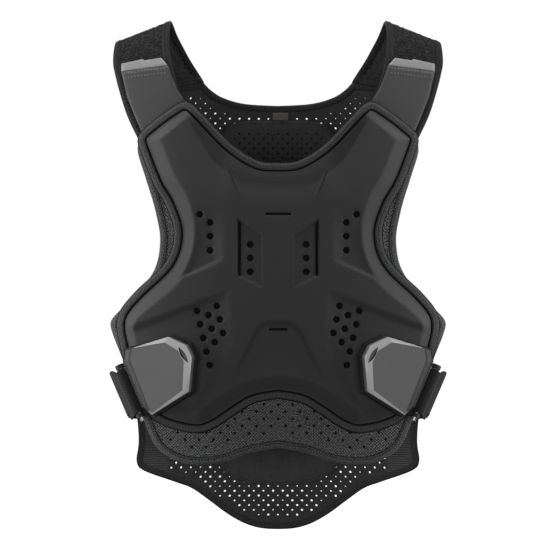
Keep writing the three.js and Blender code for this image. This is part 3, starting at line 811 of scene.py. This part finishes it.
# window of three vents, with a groove along its outer side
window = dict(
    corners=((14.5, -216.2), (40, -198), (40, -253.4), (14.5, -265.8)), depth=2.4, wall=1.8, ramp=2.4,
    grooveStart=35.2, grooveEnd=39.0, grooveDepth=4.6, grooveWall=1.2, outerWall=1.0, darkFrom=0.4,
)
neckCrease = ((88.5, -96.5), (86, -104), (76.3, -120.4), (64.9, -139.5), (54.4, -150.2), (45.8, -153.8))
# band along the neck: depth and reach of its valley, and the strength and fades of its painted shade
neckBand = dict(
    depth=3.4, reach=26.0, past=2.5, start=38, full=60,
    shadeEdge=(-0.6, 0.8), shadeStart=42, shade=0.55, upperShade=0.4, upperEnd=86,
)
# foot of the collar's wall: a thin line of painted shade
collarFoot = dict(line=((47.2, -153.0), (34.8, -183)), shade=0.9, half=(1.5, 0.4), fade=(-183, -164))
slots = ((-194.8, 12.8, 1.6), (-304.7, 9.2, 1.5))  # height, half width, radius
sideVents = ((75, -195), (65, -202.8), (65, -216), (65, -229.4))
windowVents = dict(x=26.7, top=-223.8, pitch=13.1, count=3)
ventLattice = dict(x=77.4, z=-287.2, downX=-2.97, downZ=-12.95, inX=-11, inZ=-4.1)
ventColumns = ((0, 0, 4), (1, 0, 2), (2, -1, 1))  # column, first row, last row


def ventSpots():
    spots = list(sideVents)
    spots += [(windowVents["x"], windowVents["top"] - i * windowVents["pitch"]) for i in range(windowVents["count"])]
    for column, first, last in ventColumns:
        for row in range(first, last + 1):
            x = ventLattice["x"] + column * ventLattice["inX"] + row * ventLattice["downX"]
            spots.append((x, ventLattice["z"] + column * ventLattice["inZ"] + row * ventLattice["downZ"]))
    return spots


# openings through the plate: ends of each one's middle line, and its radius
def plateOpenings():
    made = []
    for x, z in ventSpots():
        made += [((sign * x, z), (sign * x, z), plate["ventRadius"]) for sign in (1, -1)]
    for z, half, radius in slots:
        made.append(((radius - half, z), (half - radius, z), radius))
    return made


# share of a recess's depth, nearly straight down its wall
def recess(corners, wall, spots):
    straight = 0.6
    down = np.clip(insideBy(np.array(corners, float), spots)[0] / wall, 0, 1)
    return straight * down + (1 - straight) * smooth(0, 1, down)


# the plate is the same on both sides, so its relief is worked out on the right
def rightHalf(flat):
    return np.abs(flat) * (1, -1)


# distance inside the band along the neck, and from its crease
def inNeckBand(spots):
    crease = spline(neckCrease, outlineStep)
    pastEdge = np.array(plateRuns[0][2:], float) + (-neckBand["past"], neckBand["past"])
    return insideBy(np.concatenate((crease, pastEdge)), spots)[0], nearest(crease, spots, False)[0]


# valley between the band and the plate's arm
def neckValley(spots, fromNeck):
    inside, far = inNeckBand(spots)
    onBand = fromNeck / np.maximum(fromNeck + far, 1e-6)
    share = np.where(inside > 0, onBand, 1 - np.clip(far / neckBand["reach"], 0, 1))
    return neckBand["depth"] * share * smooth(neckBand["start"], neckBand["full"], spots[:, 0])


# painted shade of the band, most of all at its upper end, and of the foot of the collar's wall: darker colour
# standing for the shade that falls there
def bandShade(flat):
    spots = rightHalf(flat)
    x, z = spots.T
    full = neckBand["full"]
    shade = neckBand["shade"] + neckBand["upperShade"] * smooth(full, neckBand["upperEnd"], x)
    band = shade * smooth(*neckBand["shadeEdge"], inNeckBand(spots)[0]) * smooth(neckBand["shadeStart"], full, x)
    far = nearest(np.array(collarFoot["line"], float), spots, False)[0]
    foot = collarFoot["shade"] * smooth(*collarFoot["half"], far) * smooth(*collarFoot["fade"], z)
    return np.maximum(band, foot)


# window's ramp down from its inner side, and the groove along its outer one
def windowDepth(spots):
    x = spots[:, 0]
    share = recess(window["corners"], window["wall"], spots)
    share = share * np.clip((window["grooveEnd"] - x) / window["outerWall"], 0, 1)
    ramp = np.clip((x - window["corners"][0][0]) / window["ramp"], 0, 1)
    groove = np.clip((x - window["grooveStart"]) / window["grooveWall"], 0, 1)
    return share * (window["depth"] * ramp + window["grooveDepth"] * groove)


# shares of each bevel's height over the plate, one at its inner edge
def bevelRamps(spots):
    neck, top, sideAndHem = (spline(run, outlineStep) for run in plateRuns)
    split = np.linalg.norm(sideAndHem - plateRuns[2][legEnd], axis=1).argmin()
    edges = dict(neck=neck, top=top, side=sideAndHem[: split + 1], hem=sideAndHem[split:])
    away = {name: nearest(line, spots, False)[0] for name, line in edges.items()}
    widths = dict(bevelWidths)
    widths["side"] = widths["side"] - sideTaper["by"] * smooth(sideTaper["start"], sideTaper["end"], spots[:, 1])
    lip = plate["lip"]
    ramps = {name: np.clip(far - lip, 0, None) / (widths[name] - lip) for name, far in away.items()}
    ramps["neck"] = neckStart + (1 - neckStart) * ramps["neck"]
    return np.min(list(ramps.values()), 0), away["neck"]


def plateHeights(flat):
    spots = rightHalf(flat)
    bevel, fromNeck = bevelRamps(spots)
    measures = dict(x=spots[:, 0], z=spots[:, 1], bevel=bevel, neck=fromNeck)
    depth = windowDepth(spots) + neckValley(spots, fromNeck)
    for hollow in recesses:
        share = recess(hollow["corners"], hollow["wall"], spots)
        for measure, outside, inside in hollow["fades"]:
            share = share * smooth(outside, inside, measures[measure])
        depth += hollow["depth"] * share
    soft = plate["round"]
    rounded = 1 - (1 + soft - bevel) ** 2 / (4 * soft)
    bevel = np.where(bevel > 1 + soft, 1, np.where(bevel < 1 - soft, bevel, rounded))
    return plate["rim"] + (plate["top"] - plate["rim"] - depth) * bevel


# hexagon with a corner at each side, as a share of its radius
def ventReach(way):
    corner = math.radians(30)
    return math.cos(corner) / math.cos(math.atan2(way[1], way[0]) % (2 * corner) - corner)


# grid cells out of each opening, their edge drawn to its outline and walled down to a floor; the deep wall and the
# floor are dark with painted shade
def cutOpenings(bm):
    lines = [np.array((a, b), float) for a, b, _ in plateOpenings()]
    radii = np.array([radius for _, _, radius in plateOpenings()])

    def middles(verts):
        spots = flatOf(verts)[:, :2]
        found = [nearest(line, spots, False) for line in lines]
        gaps = np.array([far for far, _ in found]) - radii[:, None]
        feet = np.array([found[k][1][i] for i, k in enumerate(gaps.argmin(0))])
        return spots, feet, unit(spots - feet), gaps

    bm.verts.index_update()
    inside = middles(bm.verts)[3].min(0) < 0
    cells = [f for f in bm.faces if any(inside[v.index] for v in f.verts)]
    outside = {e for e in bm.edges if e.is_boundary}
    bmesh.ops.delete(bm, geom=cells, context="FACES")
    torn = [e for e in bm.edges if e.is_boundary and e not in outside]
    rim = list({v for e in torn for v in e.verts})
    _, feet, ways, gaps = middles(rim)
    for v, foot, way, k in zip(rim, feet, ways, gaps.argmin(0)):
        isVent = lines[k][0][0] == lines[k][1][0]
        v.co.x, v.co.y = foot + way * radii[k] * (ventReach(way) if isVent else 1)
    drops = {}
    for drop, inward, dark in ((plate["chamfer"], plate["chamfer"], 0), (plate["ventDepth"], 0.0, 1)):
        wall = bmesh.ops.extrude_edge_only(bm, edges=torn)["geom"]
        torn = [e for e in only(BMEdge, wall) if e.is_boundary]
        fresh = only(BMVert, wall)
        spots, _, ways, _ = middles(fresh)
        for v, (x, z) in zip(fresh, spots - ways * inward):
            v.co.x, v.co.y = x, z
            drops[v] = drop
        for f in only(BMFace, wall):
            f.material_index = dark
    for f in bmesh.ops.holes_fill(bm, edges=torn, sides=0)["faces"]:
        f.material_index = 1
    return drops


# floor of the window's groove, dark with painted shade
def inGroove(flat):
    spots = rightHalf(flat)
    x, margin = spots[:, 0], window["darkFrom"]
    between = (x > window["grooveStart"] + margin) & (x < window["grooveEnd"] - margin)
    return between & (insideBy(np.array(window["corners"]), spots)[0] > window["outerWall"])


def makePlate():
    bm = flatGrid(plateLoop.min(0), plateLoop.max(0), plate["step"])
    cutOut(bm, plateLoop)
    under = bm.copy()
    drops = cutOpenings(bm)
    heights = plateHeights(flatOf(bm.verts)[:, :2])
    for v, height in zip(bm.verts, heights):
        v.co.z = height - drops.get(v, 0)
    # painted shade: the groove's floor takes the dark second look
    for f, dark in zip(bm.faces, inGroove(np.array([f.calc_center_median()[:2] for f in bm.faces]))):
        f.material_index = max(f.material_index, int(dark))
    wall = bmesh.ops.extrude_edge_only(bm, edges=[e for e in bm.edges if e.is_boundary])["geom"]
    for v in only(BMVert, wall) + under.verts[:]:
        v.co.z = plate["base"]
    whole = bpy.data.meshes.new("plate_underside")
    under.to_mesh(whole)
    under.free()
    bm.from_mesh(whole)
    bpy.data.meshes.remove(whole)
    bmesh.ops.remove_doubles(bm, verts=bm.verts[:], dist=1e-3)
    # painted shade: the shade attribute darkens the plate's colour along the neck band and at the foot of the
    # collar's wall
    layer = bm.verts.layers.float.new("shade")
    for v, shade in zip(bm.verts, bandShade(flatOf(bm.verts)[:, :2])):
        v[layer] = shade
    settle(bm, onChest)
    bmesh.ops.recalc_face_normals(bm, faces=bm.faces[:])
    # second look: painted shade in the vents and the window's groove
    finish = ("plate", "ventShade")
    piece = asPiece("moulded_chest_plate", bm, finish, ["chest_plate"], plate["sharp"])


makePlate()

# stitched flange that holds the plate on the panel
flange = dict(
    section=(
        (0.2, 11.6), (1.8, 11.6), (2.0, 12.9), (2.6, 13.5), (3.7, 13.7), (5.6, 13.7), (7.0, 13.5),
        (7.8, 12.9), (8.2, 12.0), (9.3, 11.0), (8.6, 10.6),
    ),
    # rows of the section in painted shade: the gutter along the plate's edge and the skirt on the panel along the
    # flange's outer edge
    paintedShadeRows=(0, 8),
    seams=((3.5, 13.65), (6.2, 13.6)),
)
flangeThread = dict(pitch=2.9, long=1.8, wide=0.95, high=0.7)


def makeFlange():
    section = [(-d, height) for d, height in flange["section"]]
    bm = foldTape(plateLoop, section, onChest, paintedShadeRows=flange["paintedShadeRows"])
    asPiece("plate_flange", bm, ("flange", "ventShade"), ["plate_binding"])
    rows = [(inset(plateLoop, -out), height) for out, height in flange["seams"]]
    sewRows("plate_flange_stitches", rows, flangeThread, "greyThread", onChest, closed=True)


makeFlange()
print("chest plate done")

sides = (("right", 1), ("left", -1))

# shoulder strap: loop pile with a bound edge, over the crest
strap = dict(
    step=1.5, half=26.0, top=6.6, thickness=2.6, nap=0.7, napSize=0.5,
    tape=5.8, tapeLow=3.6, tapeHigh=7.1, seam=4.3, seamEnd=6.0,
)
strapThread = dict(pitch=3.2, long=2.1, wide=1.1, high=0.8)
strapTuck = dict(over=6.0, dip=3.8, start=16.0)
half, length = strapSize["halfWidth"], strapSize["length"]
strapEnd = length + strapTuck["over"]
strapCorners = np.array(((-half, strapEnd), (half, strapEnd), (half, 0), (-half, 0), (-half, strapEnd)), float)
strapLoop = np.concatenate([spaced(strapCorners[i : i + 2], outlineStep)[:-1] for i in range(4)])


# the strap's back end dips under the edge of the back panel
def onTuckedStrap(u, v, height):
    return onStrap(u, v, height - strapTuck["dip"] * smooth(length - strapTuck["start"], length, v))


def makeStrap(side, sign):
    end = strap["tape"] / 2
    bm = flatGrid((-strap["half"], end), (strap["half"], strapEnd - end), strap["step"])
    for v in bm.verts:
        v.co.z = strap["top"] + strap["nap"] * noise.noise(Vector((v.co.x, v.co.y, 0)) * strap["napSize"])
    settle(bm, onTuckedStrap, sign)
    pile = asPiece(f"shoulder_pile_{side}", bm, ("pile", "strapLining"), [f"shoulder_strap_{side}"])
    thicken(pile, strap["thickness"], lined=True)
    section = tapeSection(strap["tape"], strap["tapeLow"], strap["tapeHigh"])
    bm = foldTape(strapLoop, section, onTuckedStrap, sign)
    # the tape's second look paints shade on its inner edge strip
    finish = ("strapTape", "darkThreadAndShade")
    tape = asPiece(f"shoulder_edge_tape_{side}", bm, finish, [f"strap_binding_{side}"])
    seam, seamEnd = half - strap["seam"], strap["seamEnd"]
    rows = [
        (np.array(((u, seamEnd), (u, length - seamEnd))), strap["tapeHigh"] + threadRise) for u in (seam, -seam)
    ]
    stitches = sewRows(
        f"shoulder_stitches_{side}", rows, strapThread, "darkThreadAndShade", onTuckedStrap, sign
    )


# shoulder tab, stitched in two rows under its rubber tip
tab = dict(step=2.4, top=10.4, thickness=2.0, roll=2.6, drop=0.35, rows=(2.2, 6.4), inset=2.2)
tabOutline = (
    (90.6, -84.4), (99.2, -71.1), (105.4, -55), (107.6, -48.6), (154.4, -53),
    (147.9, -78.6), (140.6, -96.7), (132.2, -115.4), (111.4, -98),
)
tabCorners = (tabOutline[0], tabOutline[3], tabOutline[4], tabOutline[7])
tabThread = dict(pitch=3.4, long=1.7, wide=1.2, high=0.9)
tip = dict(step=1.3, top=9.9, thickness=1.7, roll=1.2, drop=0.5)
tipOutline = ((107.8, -48), (114.7, -40), (131.4, -42), (133, -40.6), (154.6, -44.6), (154.4, -52.4))


# small patch on the chest whose rim rolls down, with the given corners kept sharp
def makePatch(name, outline, corners, patch, look, node, sign):
    loop = np.array(outline, float)
    bm = flatGrid(loop.min(0), loop.max(0), patch["step"])
    cutOut(bm, loop, 0.0, corners)
    inside = insideBy(loop, flatOf(bm.verts)[:, :2])[0]
    for v, d in zip(bm.verts, inside):
        v.co.z = patch["top"] - patch["drop"] * (1 - smooth(0, patch["roll"], d))
    settle(bm, onChest, sign)
    piece = asPiece(name, bm, [look], [node])
    thicken(piece, patch["thickness"] - patch["drop"])
    return piece


def makeTab(side, sign):
    cloth = makePatch(f"tab_cloth_{side}", tabOutline, tabCorners, tab, "tab", f"shoulder_tab_{side}", sign)
    a, b = np.array(tabCorners[1:3], float)
    way = unit(b - a)
    down = np.array((way[1], -way[0]))
    edge = np.array((a + way * tab["inset"], b - way * tab["inset"]))
    rows = [(edge + down * drop, tab["top"] + threadRise) for drop in tab["rows"]]
    stitches = sewRows(f"tab_stitches_{side}", rows, tabThread, "paleThread", onChest, sign)
    makePatch(f"rubber_tip_{side}", tipOutline, tipOutline, tip, "tip", f"tab_tip_{side}", sign)


# waist buckle in its own plane: x outwards, z up, height off the chest
buckle = dict(
    x=112.4, y=-118, z=-350, yaw=math.radians(24), low=5.4, brow=11.7, top=12.2,
    edge=0.4, softEdge=2.8, creased=0.2, faceInset=0.4, sharp=35,
)
leaf = dict(top=(-24.7, 28.4), foot=(-34.7, 13.7), half=2.3, belly=0.8, floor=11.0, flat=0.55, steps=5)
ribs = dict(count=24, start=0.05, end=0.95, long=1.0, wide=2.6, high=1.4, inset=0.7, height=8.1)
rolledHeights = {0: 6.9, 6: 6.9, 7: 6.9}  # brow of the corners on the rolled outer side
buckleCorners = (
    (35, 25.1), (-13.7, 38.2), (-32.6, 30.2), (-38.6, 19.2), (-35.2, -13.8), (4.2, -36.9), (15, -31.3), (36.8, 14.1),
)
faceShifts = (
    (-7.0, 0.7), (3.7, -5.3), (8.2, -5.2), (8.2, -4.6), (6.2, 1.2), (-0.6, 1.6), (-6.2, 0.2), (-7.0, 1.0),
)
bar = dict(
    x=30.3, z=-14.6, height=4.6, tilt=math.radians(25.7), radius=2.2, length=57, slid=-3.0, segments=24, endRound=0.7,
)


def onBuckle(x, z, height):
    turn, sway = math.cos(buckle["yaw"]), math.sin(buckle["yaw"])
    return np.stack((
        buckle["x"] + x * turn + height * sway,
        buckle["y"] + x * sway - height * turn,
        buckle["z"] + z,
    ), 1)


# one edge of the leaf: shares of its length and their spots, with the spots where it meets two creases
def leafEdge(side, creases):
    top, foot = np.array(leaf["top"]), np.array(leaf["foot"])
    way = unit(foot - top)
    out = np.array((-way[1], way[0])) * side * leaf["half"]

    def spot(t):
        t = np.asarray(t, float)[..., None]
        return top + (foot - top) * t + out * np.sin(math.pi * t) ** leaf["belly"]

    dense = np.linspace(0, 1, 801)
    meets = []
    for a, b in creases:
        x, z = (spot(dense) - a).T
        across = (b[0] - a[0]) * z - (b[1] - a[1]) * x
        meets.append(dense[np.flatnonzero(np.diff(np.sign(across)))[0]])
    first, second = meets
    parts = ((0, first), (first, second), (second, 1))
    return [spot(np.linspace(*part, leaf["steps"])) for part in parts]


# band of the cover round the leaf slot: three faces of its rim, the middle one parted by the leaf
def leafBand(bm, outer, inner):
    brow, top = buckle["brow"], buckle["top"]
    creases = [(np.array(outer[i].co[:2]), np.array(inner[i].co[:2])) for i in (2, 3)]
    outLoop, inLoop = (np.array([v.co[:2] for v in ring]) for ring in (outer, inner))
    made = {}

    def vert(spot):
        key = tuple(np.round(spot, 4))
        if key not in made:
            here = np.array([spot])
            low, high = nearest(outLoop, here)[0][0], nearest(inLoop, here)[0][0]
            made[key] = bm.verts.new((*spot, brow + (top - brow) * low / (low + high)))
        return made[key]

    edges = []
    for side in (-1, 1):
        edges.append([[vert(spot) for spot in part] for part in leafEdge(side, creases)])
    near, far = sorted(edges, key=lambda parts: nearest(outLoop, np.array([parts[1][2].co[:2]]))[0][0])
    bm.faces.new([inner[1], outer[1], outer[2], *near[0][::-1], *far[0][1:], inner[2]])
    bm.faces.new([outer[2], outer[3], *near[1][::-1]])
    bm.faces.new([inner[3], inner[2], *far[1]])
    bm.faces.new([outer[3], outer[4], inner[4], inner[3], *far[2][:-1], *near[2][::-1]])
    order = [v for part in near for v in part] + [v for part in far[::-1] for v in part[::-1]]
    order = list(dict.fromkeys(order))
    rim = [bm.edges.get(pair) for pair in zip(order, order[1:] + order[:1])]
    wall = bmesh.ops.extrude_edge_only(bm, edges=rim)["geom"]
    foot = only(BMVert, wall)
    spots = flatOf(foot)[:, :2]
    middles = nearest(np.array((leaf["top"], leaf["foot"])), spots, False)[1]
    for v, (x, z) in zip(foot, middles + (spots - middles) * leaf["flat"]):
        v.co = (x, z, leaf["floor"])
    bmesh.ops.contextual_create(bm, geom=[e for e in only(BMEdge, wall) if e.is_boundary])
    return only(BMFace, wall)


# looks of the cover: pale band on the brow, painted shade on the walls of the leaf, and a darker copy of the cover on
# the softer roll of the outer side, as painted shade
def paintCover(bm, foot, outer, inner, leafWalls):
    pale = [{outer[i], outer[i + 1]} for i in range(5)]
    rolled = {outer[i] for i in rolledHeights}
    for f in bm.faces:
        verts = set(f.verts)
        onBrow = not verts & set(foot)
        # painted shade: the leaf's walls take the dark ventShade look
        if f in leafWalls:
            f.material_index = 2
        # painted shade: faces of the rolled outer side take the darker copy of the cover
        elif len(rolled & verts) == 2 and verts & set(inner):
            f.material_index = 3
        elif onBrow and any(pair <= verts for pair in pale):
            f.material_index = 1
        elif onBrow and len(verts & set(inner)) == 2 and len(verts) > 5:
            f.material_index = 1


# gripping ribs along the outer side of the cover
def addRibs(bm, a, b):
    way = unit(b - a)
    inward = np.array((way[1], -way[0]))
    inward *= np.sign(inward.dot(-a))
    turn = Matrix.Rotation(math.atan2(way[1], way[0]), 4, "Z")
    for share in np.linspace(ribs["start"], ribs["end"], ribs["count"]):
        spot = a + (b - a) * share + inward * ribs["inset"]
        addBead(bm, ribs, Matrix.Translation((*spot, ribs["height"])) @ turn)


def makeCover(side, sign):
    bm = bmesh.new()
    corners = np.array(buckleCorners, float)
    count = len(corners)
    brows = [rolledHeights.get(i, buckle["brow"]) for i in range(count)]
    rings = (
        (corners, [buckle["low"]] * count),
        (corners, brows),
        (corners + np.array(faceShifts), [buckle["top"]] * count),
    )
    foot, outer, inner = (
        [bm.verts.new((x, z, height)) for (x, z), height in zip(ring, heights)] for ring, heights in rings
    )
    for i in range(count):
        k = (i + 1) % count
        bm.faces.new((foot[i], foot[k], outer[k], outer[i]))
        if i not in (1, 2, 3):  # these make the band round the leaf
            bm.faces.new((outer[i], outer[k], inner[k], inner[i]))
    leafWalls = leafBand(bm, outer, inner)
    bm.faces.new(inner)
    bm.faces.new(foot[::-1])
    bmesh.ops.recalc_face_normals(bm, faces=bm.faces[:])
    paintCover(bm, foot, outer, inner, leafWalls)
    kept = {e for f in leafWalls for e in f.edges}
    soft = {v for i in rolledHeights for v in (outer[i], inner[i])}
    softEdges = [e for e in bm.edges if soft >= set(e.verts)]
    kept.update(softEdges)
    crisp = [e for e in bm.edges if e not in kept and e.calc_face_angle(0) > buckle["creased"]]
    bevel = dict(affect="EDGES", profile=0.5, material=-1)
    # the soft roll's bevel takes the same painted shade
    for f in bmesh.ops.bevel(bm, geom=softEdges, offset=buckle["softEdge"], segments=5, **bevel)["faces"]:
        f.material_index = 3
    crisp = [e for e in crisp if e.is_valid]
    bmesh.ops.bevel(bm, geom=crisp, offset=buckle["edge"], segments=2, **bevel)
    face = max(bm.faces, key=lambda f: f.calc_area() if f.normal.z > 0.9 else 0)
    bmesh.ops.inset_individual(bm, faces=[face], thickness=buckle["faceInset"])  # keeps it flat in shading
    addRibs(bm, corners[7], corners[6])
    settle(bm, onBuckle, sign)
    finish = ("cover", "coverEdge", "ventShade", "coverSideShade")
    asPiece(f"clip_cover_{side}", bm, finish, [f"buckle_cover_{side}"], buckle["sharp"])


def makePin(side, sign):
    bm = bmesh.new()
    radius = bar["radius"]
    bmesh.ops.create_cone(
        bm, cap_ends=True, segments=bar["segments"], radius1=radius, radius2=radius, depth=bar["length"]
    )
    ends = [e for e in bm.edges if abs(e.verts[0].co.z - e.verts[1].co.z) < 1e-6]
    bmesh.ops.bevel(bm, geom=ends, offset=bar["endRound"], affect="EDGES", segments=3, profile=0.5, material=-1)
    flat = flatOf(bm.verts)[:, :2]
    alongFlat = Matrix.Translation((0, bar["slid"], 0)) @ Matrix.Rotation(math.radians(-90), 4, "X")
    lean = Matrix.Translation((bar["x"], bar["z"], bar["height"])) @ Matrix.Rotation(-bar["tilt"], 4, "Z")
    bmesh.ops.transform(bm, matrix=lean @ alongFlat, verts=bm.verts[:])
    settle(bm, onBuckle, sign, flat=flat)
    asPiece(f"clip_pin_{side}", bm, ["steel"], [f"buckle_pin_{side}"], buckle["sharp"])


# side strap: webbing round the bar and back to the panel, its fold sewn near the bar
webbing = dict(
    width=46.0, thickness=2.2, steps=140, rounded=0.5, tiltedTo=0.45, uprightFrom=0.9, sharp=60, eye=3.5,
    tail=((24, 1.5), (16, 1.6), (9, 2.4)), loop=(-75, -120, -180, -240, -285), away=((9, 1.8), (16, 1.2)), apart=60,
)
sidePath = (
    (153, -82, -367), (156, -45, -371), (155.5, 0, -373), (154, 40, -375),
    (149.8, 66.5, -377), (140, 73, -378), (126, 78, -379),
)
webThread = dict(pitch=3.0, long=2.2, wide=0.9, high=0.8, start=2.5, end=2.0)


# middle of the bar and the way along it
def barLine():
    ends = np.array((-1, 0, 1))
    x = bar["x"] + ends * math.sin(bar["tilt"])
    z = bar["z"] + ends * math.cos(bar["tilt"])
    spots = onBuckle(x, z, np.full(3, bar["height"], float))
    return spots[1], unit(spots[2] - spots[0])


# middle line of the webbing: distances along it, spots, where it leaves the bar, and its fold
def webLine(centre, barWay):
    leave = sidePath[0] - centre
    leave = unit(leave - barWay * leave.dot(barWay))
    lift = np.cross(barWay, leave)
    tail = [centre + leave * reach - lift * off for reach, off in webbing["tail"]]
    loop = [centre + webbing["eye"] * (math.cos(a) * leave + math.sin(a) * lift) for a in np.radians(webbing["loop"])]
    away = [centre + leave * reach + lift * off for reach, off in webbing["away"]]
    curve, dense = curveThrough(tail + loop + away + list(sidePath), 30)
    way = wayAlong(curve)
    folded = len(tail) + len(loop)
    foldStart, foldEnd, fromBar = np.interp((len(tail) - 1, folded - 1, folded + len(away) - 1), dense, way)
    stops = np.linspace(0, way[-1], webbing["steps"] + 1)
    return stops, alongAt(curve, way, stops), fromBar, (foldStart, foldEnd)


# millimetres to metres, mirrored for the left side
def shrink(bm, sign):
    bmesh.ops.scale(bm, vec=(sign * mm, mm, mm), verts=bm.verts[:])
    if sign < 0:
        bmesh.ops.reverse_faces(bm, faces=bm.faces[:])


def makeWebbing(side, sign):
    centre, barWay = barLine()
    stops, spots, fromBar, (foldStart, foldEnd) = webLine(centre, barWay)
    ahead = unit(np.gradient(spots, axis=0))
    share = (stops - fromBar) / (stops[-1] - fromBar)
    turn = smooth(webbing["tiltedTo"], webbing["uprightFrom"], share)[:, None]
    wide = unit(barWay * (1 - turn) + np.array((0, 0, 1)) * turn)
    thick = unit(np.cross(ahead, wide))
    w, t = webbing["width"] / 2, webbing["thickness"] / 2
    r = w - webbing["rounded"]
    ring = ((w, 0), (r, t), (w / 2, t), (0, t), (-w / 2, t), (-r, t), (-w, 0), (-r, -t), (0, -t), (r, -t))
    bm, grid = tubeGrid(len(stops) - 1, len(ring))
    uv = []
    for v, (i, k) in grid.items():
        a, b = ring[k % len(ring)]
        uv.append((stops[i], a + (webbing["apart"] if b < 0 else 0)))
        v.co = spots[i] + wide[i] * a + thick[i] * b
    # painted shade: the webbing's fold round the bar takes the dark dimple look
    for f in bm.faces:
        f.material_index = int(foldStart < np.mean([stops[grid[v][0]] for v in f.verts]) < foldEnd)
    keepUv(bm, np.array(uv))
    bmesh.ops.remove_doubles(bm, verts=bm.verts[:], dist=1e-4)
    bmesh.ops.holes_fill(bm, edges=[e for e in bm.edges if e.is_boundary], sides=0)
    bmesh.ops.recalc_face_normals(bm, faces=bm.faces[:])
    shrink(bm, sign)
    finish = ("webbing", "dimple")
    cloth = asPiece(f"side_webbing_{side}", bm, finish, [f"side_strap_{side}"], webbing["sharp"])
    bm = bmesh.new()
    seam = np.abs(stops - foldStart).argmin()
    basis = Matrix((wide[seam], ahead[seam], thick[seam])).transposed().to_4x4()
    for out in (t, -t):
        for a in np.arange(webThread["start"] - w, w - webThread["end"], webThread["pitch"]):
            addBead(bm, webThread, Matrix.Translation(spots[seam] + wide[seam] * a + thick[seam] * out) @ basis)
    keepUv(bm)
    shrink(bm, sign)
    stitches = asPiece(f"side_webbing_stitches_{side}", bm, ["paleThread"])


for side, sign in sides:
    makeStrap(side, sign)
    makeTab(side, sign)
    makeCover(side, sign)
    makePin(side, sign)
    makeWebbing(side, sign)
    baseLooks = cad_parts[f"buckle_base_{side}"].data.materials
    baseLooks.clear()
    baseLooks.append(looks["base"])
print("shoulders and buckles done")

# white studio: pale floor, soft boxes at both sides, fill from the front and above
studio = dict(floor=-0.85, reach=40.0, white=0.9, rough=0.9, glow=1.05, fill=0.03, aim=(0, 0, -0.25))
softBoxes = dict(
    left_box=dict(where=(-1.6, 0.1, -0.1), size=(0.7, 1.6), power=41),
    right_box=dict(where=(1.6, 0.1, -0.1), size=(0.7, 1.6), power=30),
    top_box=dict(where=(0, -0.05, 1.9), size=(1.4, 0.8), power=48),
    front_box=dict(where=(0, -3.2, -0.3), size=(3.0, 0.6), power=65),
    back_box=dict(where=(0, 3.0, 0.4), size=(2.0, 1.4), power=40),
)


def makeFloor():
    bm = bmesh.new()
    bmesh.ops.create_grid(bm, x_segments=1, y_segments=1, size=studio["reach"])
    bmesh.ops.translate(bm, verts=bm.verts[:], vec=(0, 0, studio["floor"]))
    floor = asObject("studio_floor", bm)
    look = bpy.data.materials.new("studioFloor")
    look.use_nodes = True
    shader = look.node_tree.nodes["Principled BSDF"]
    shader.inputs["Base Color"].default_value = (studio["white"],) * 3 + (1,)
    shader.inputs["Roughness"].default_value = studio["rough"]
    shader.inputs["Emission Color"].default_value = (1, 1, 1, 1)
    shader.inputs["Emission Strength"].default_value = studio["glow"]
    floor.data.materials.append(look)
    floor.visible_diffuse = floor.visible_glossy = False  # keeps its light off the vest


def softBox(name, where, size, power):
    light = bpy.data.lights.new(name, "AREA")
    light.shape = "RECTANGLE"
    light.size, light.size_y = size
    light.energy = power
    lamp = bpy.data.objects.new(name, light)
    lamp.location = where
    lamp.rotation_euler = (Vector(studio["aim"]) - Vector(where)).to_track_quat("-Z", "Y").to_euler()
    lamp.visible_camera = False
    bpy.context.scene.collection.objects.link(lamp)


# white behind the vest, with only a little of it as light
def makeWorld():
    world = bpy.data.worlds.new("studio")
    bpy.context.scene.world = world
    world.use_nodes = True
    tree = world.node_tree
    sky = tree.nodes["Background"]
    sky.inputs["Color"].default_value = (1, 1, 1, 1)
    path = tree.nodes.new("ShaderNodeLightPath")
    level = tree.nodes.new("ShaderNodeMapRange")
    level.inputs["To Min"].default_value = studio["fill"]
    level.inputs["To Max"].default_value = 1
    feed(tree, path.outputs["Is Camera Ray"], level.inputs["Value"])
    feed(tree, level.outputs["Result"], sky.inputs["Strength"])


makeFloor()
makeWorld()
for name, box in softBoxes.items():
    softBox(name, **box)
bpy.context.scene.view_settings.view_transform = "Standard"

view = dict(distance=2.8, x=-0.003, z=-0.253, frameWidth=0.55, sensor=36.0)
lens = bpy.data.cameras.new("camera")
lens.sensor_width = view["sensor"]
lens.lens = view["sensor"] * view["distance"] / view["frameWidth"]
camera = bpy.data.objects.new("camera", lens)
camera.location = (view["x"], -view["distance"], view["z"])
camera.rotation_euler = (math.radians(90), 0, 0)
bpy.context.scene.collection.objects.link(camera)
bpy.context.scene.camera = camera
print("studio done")
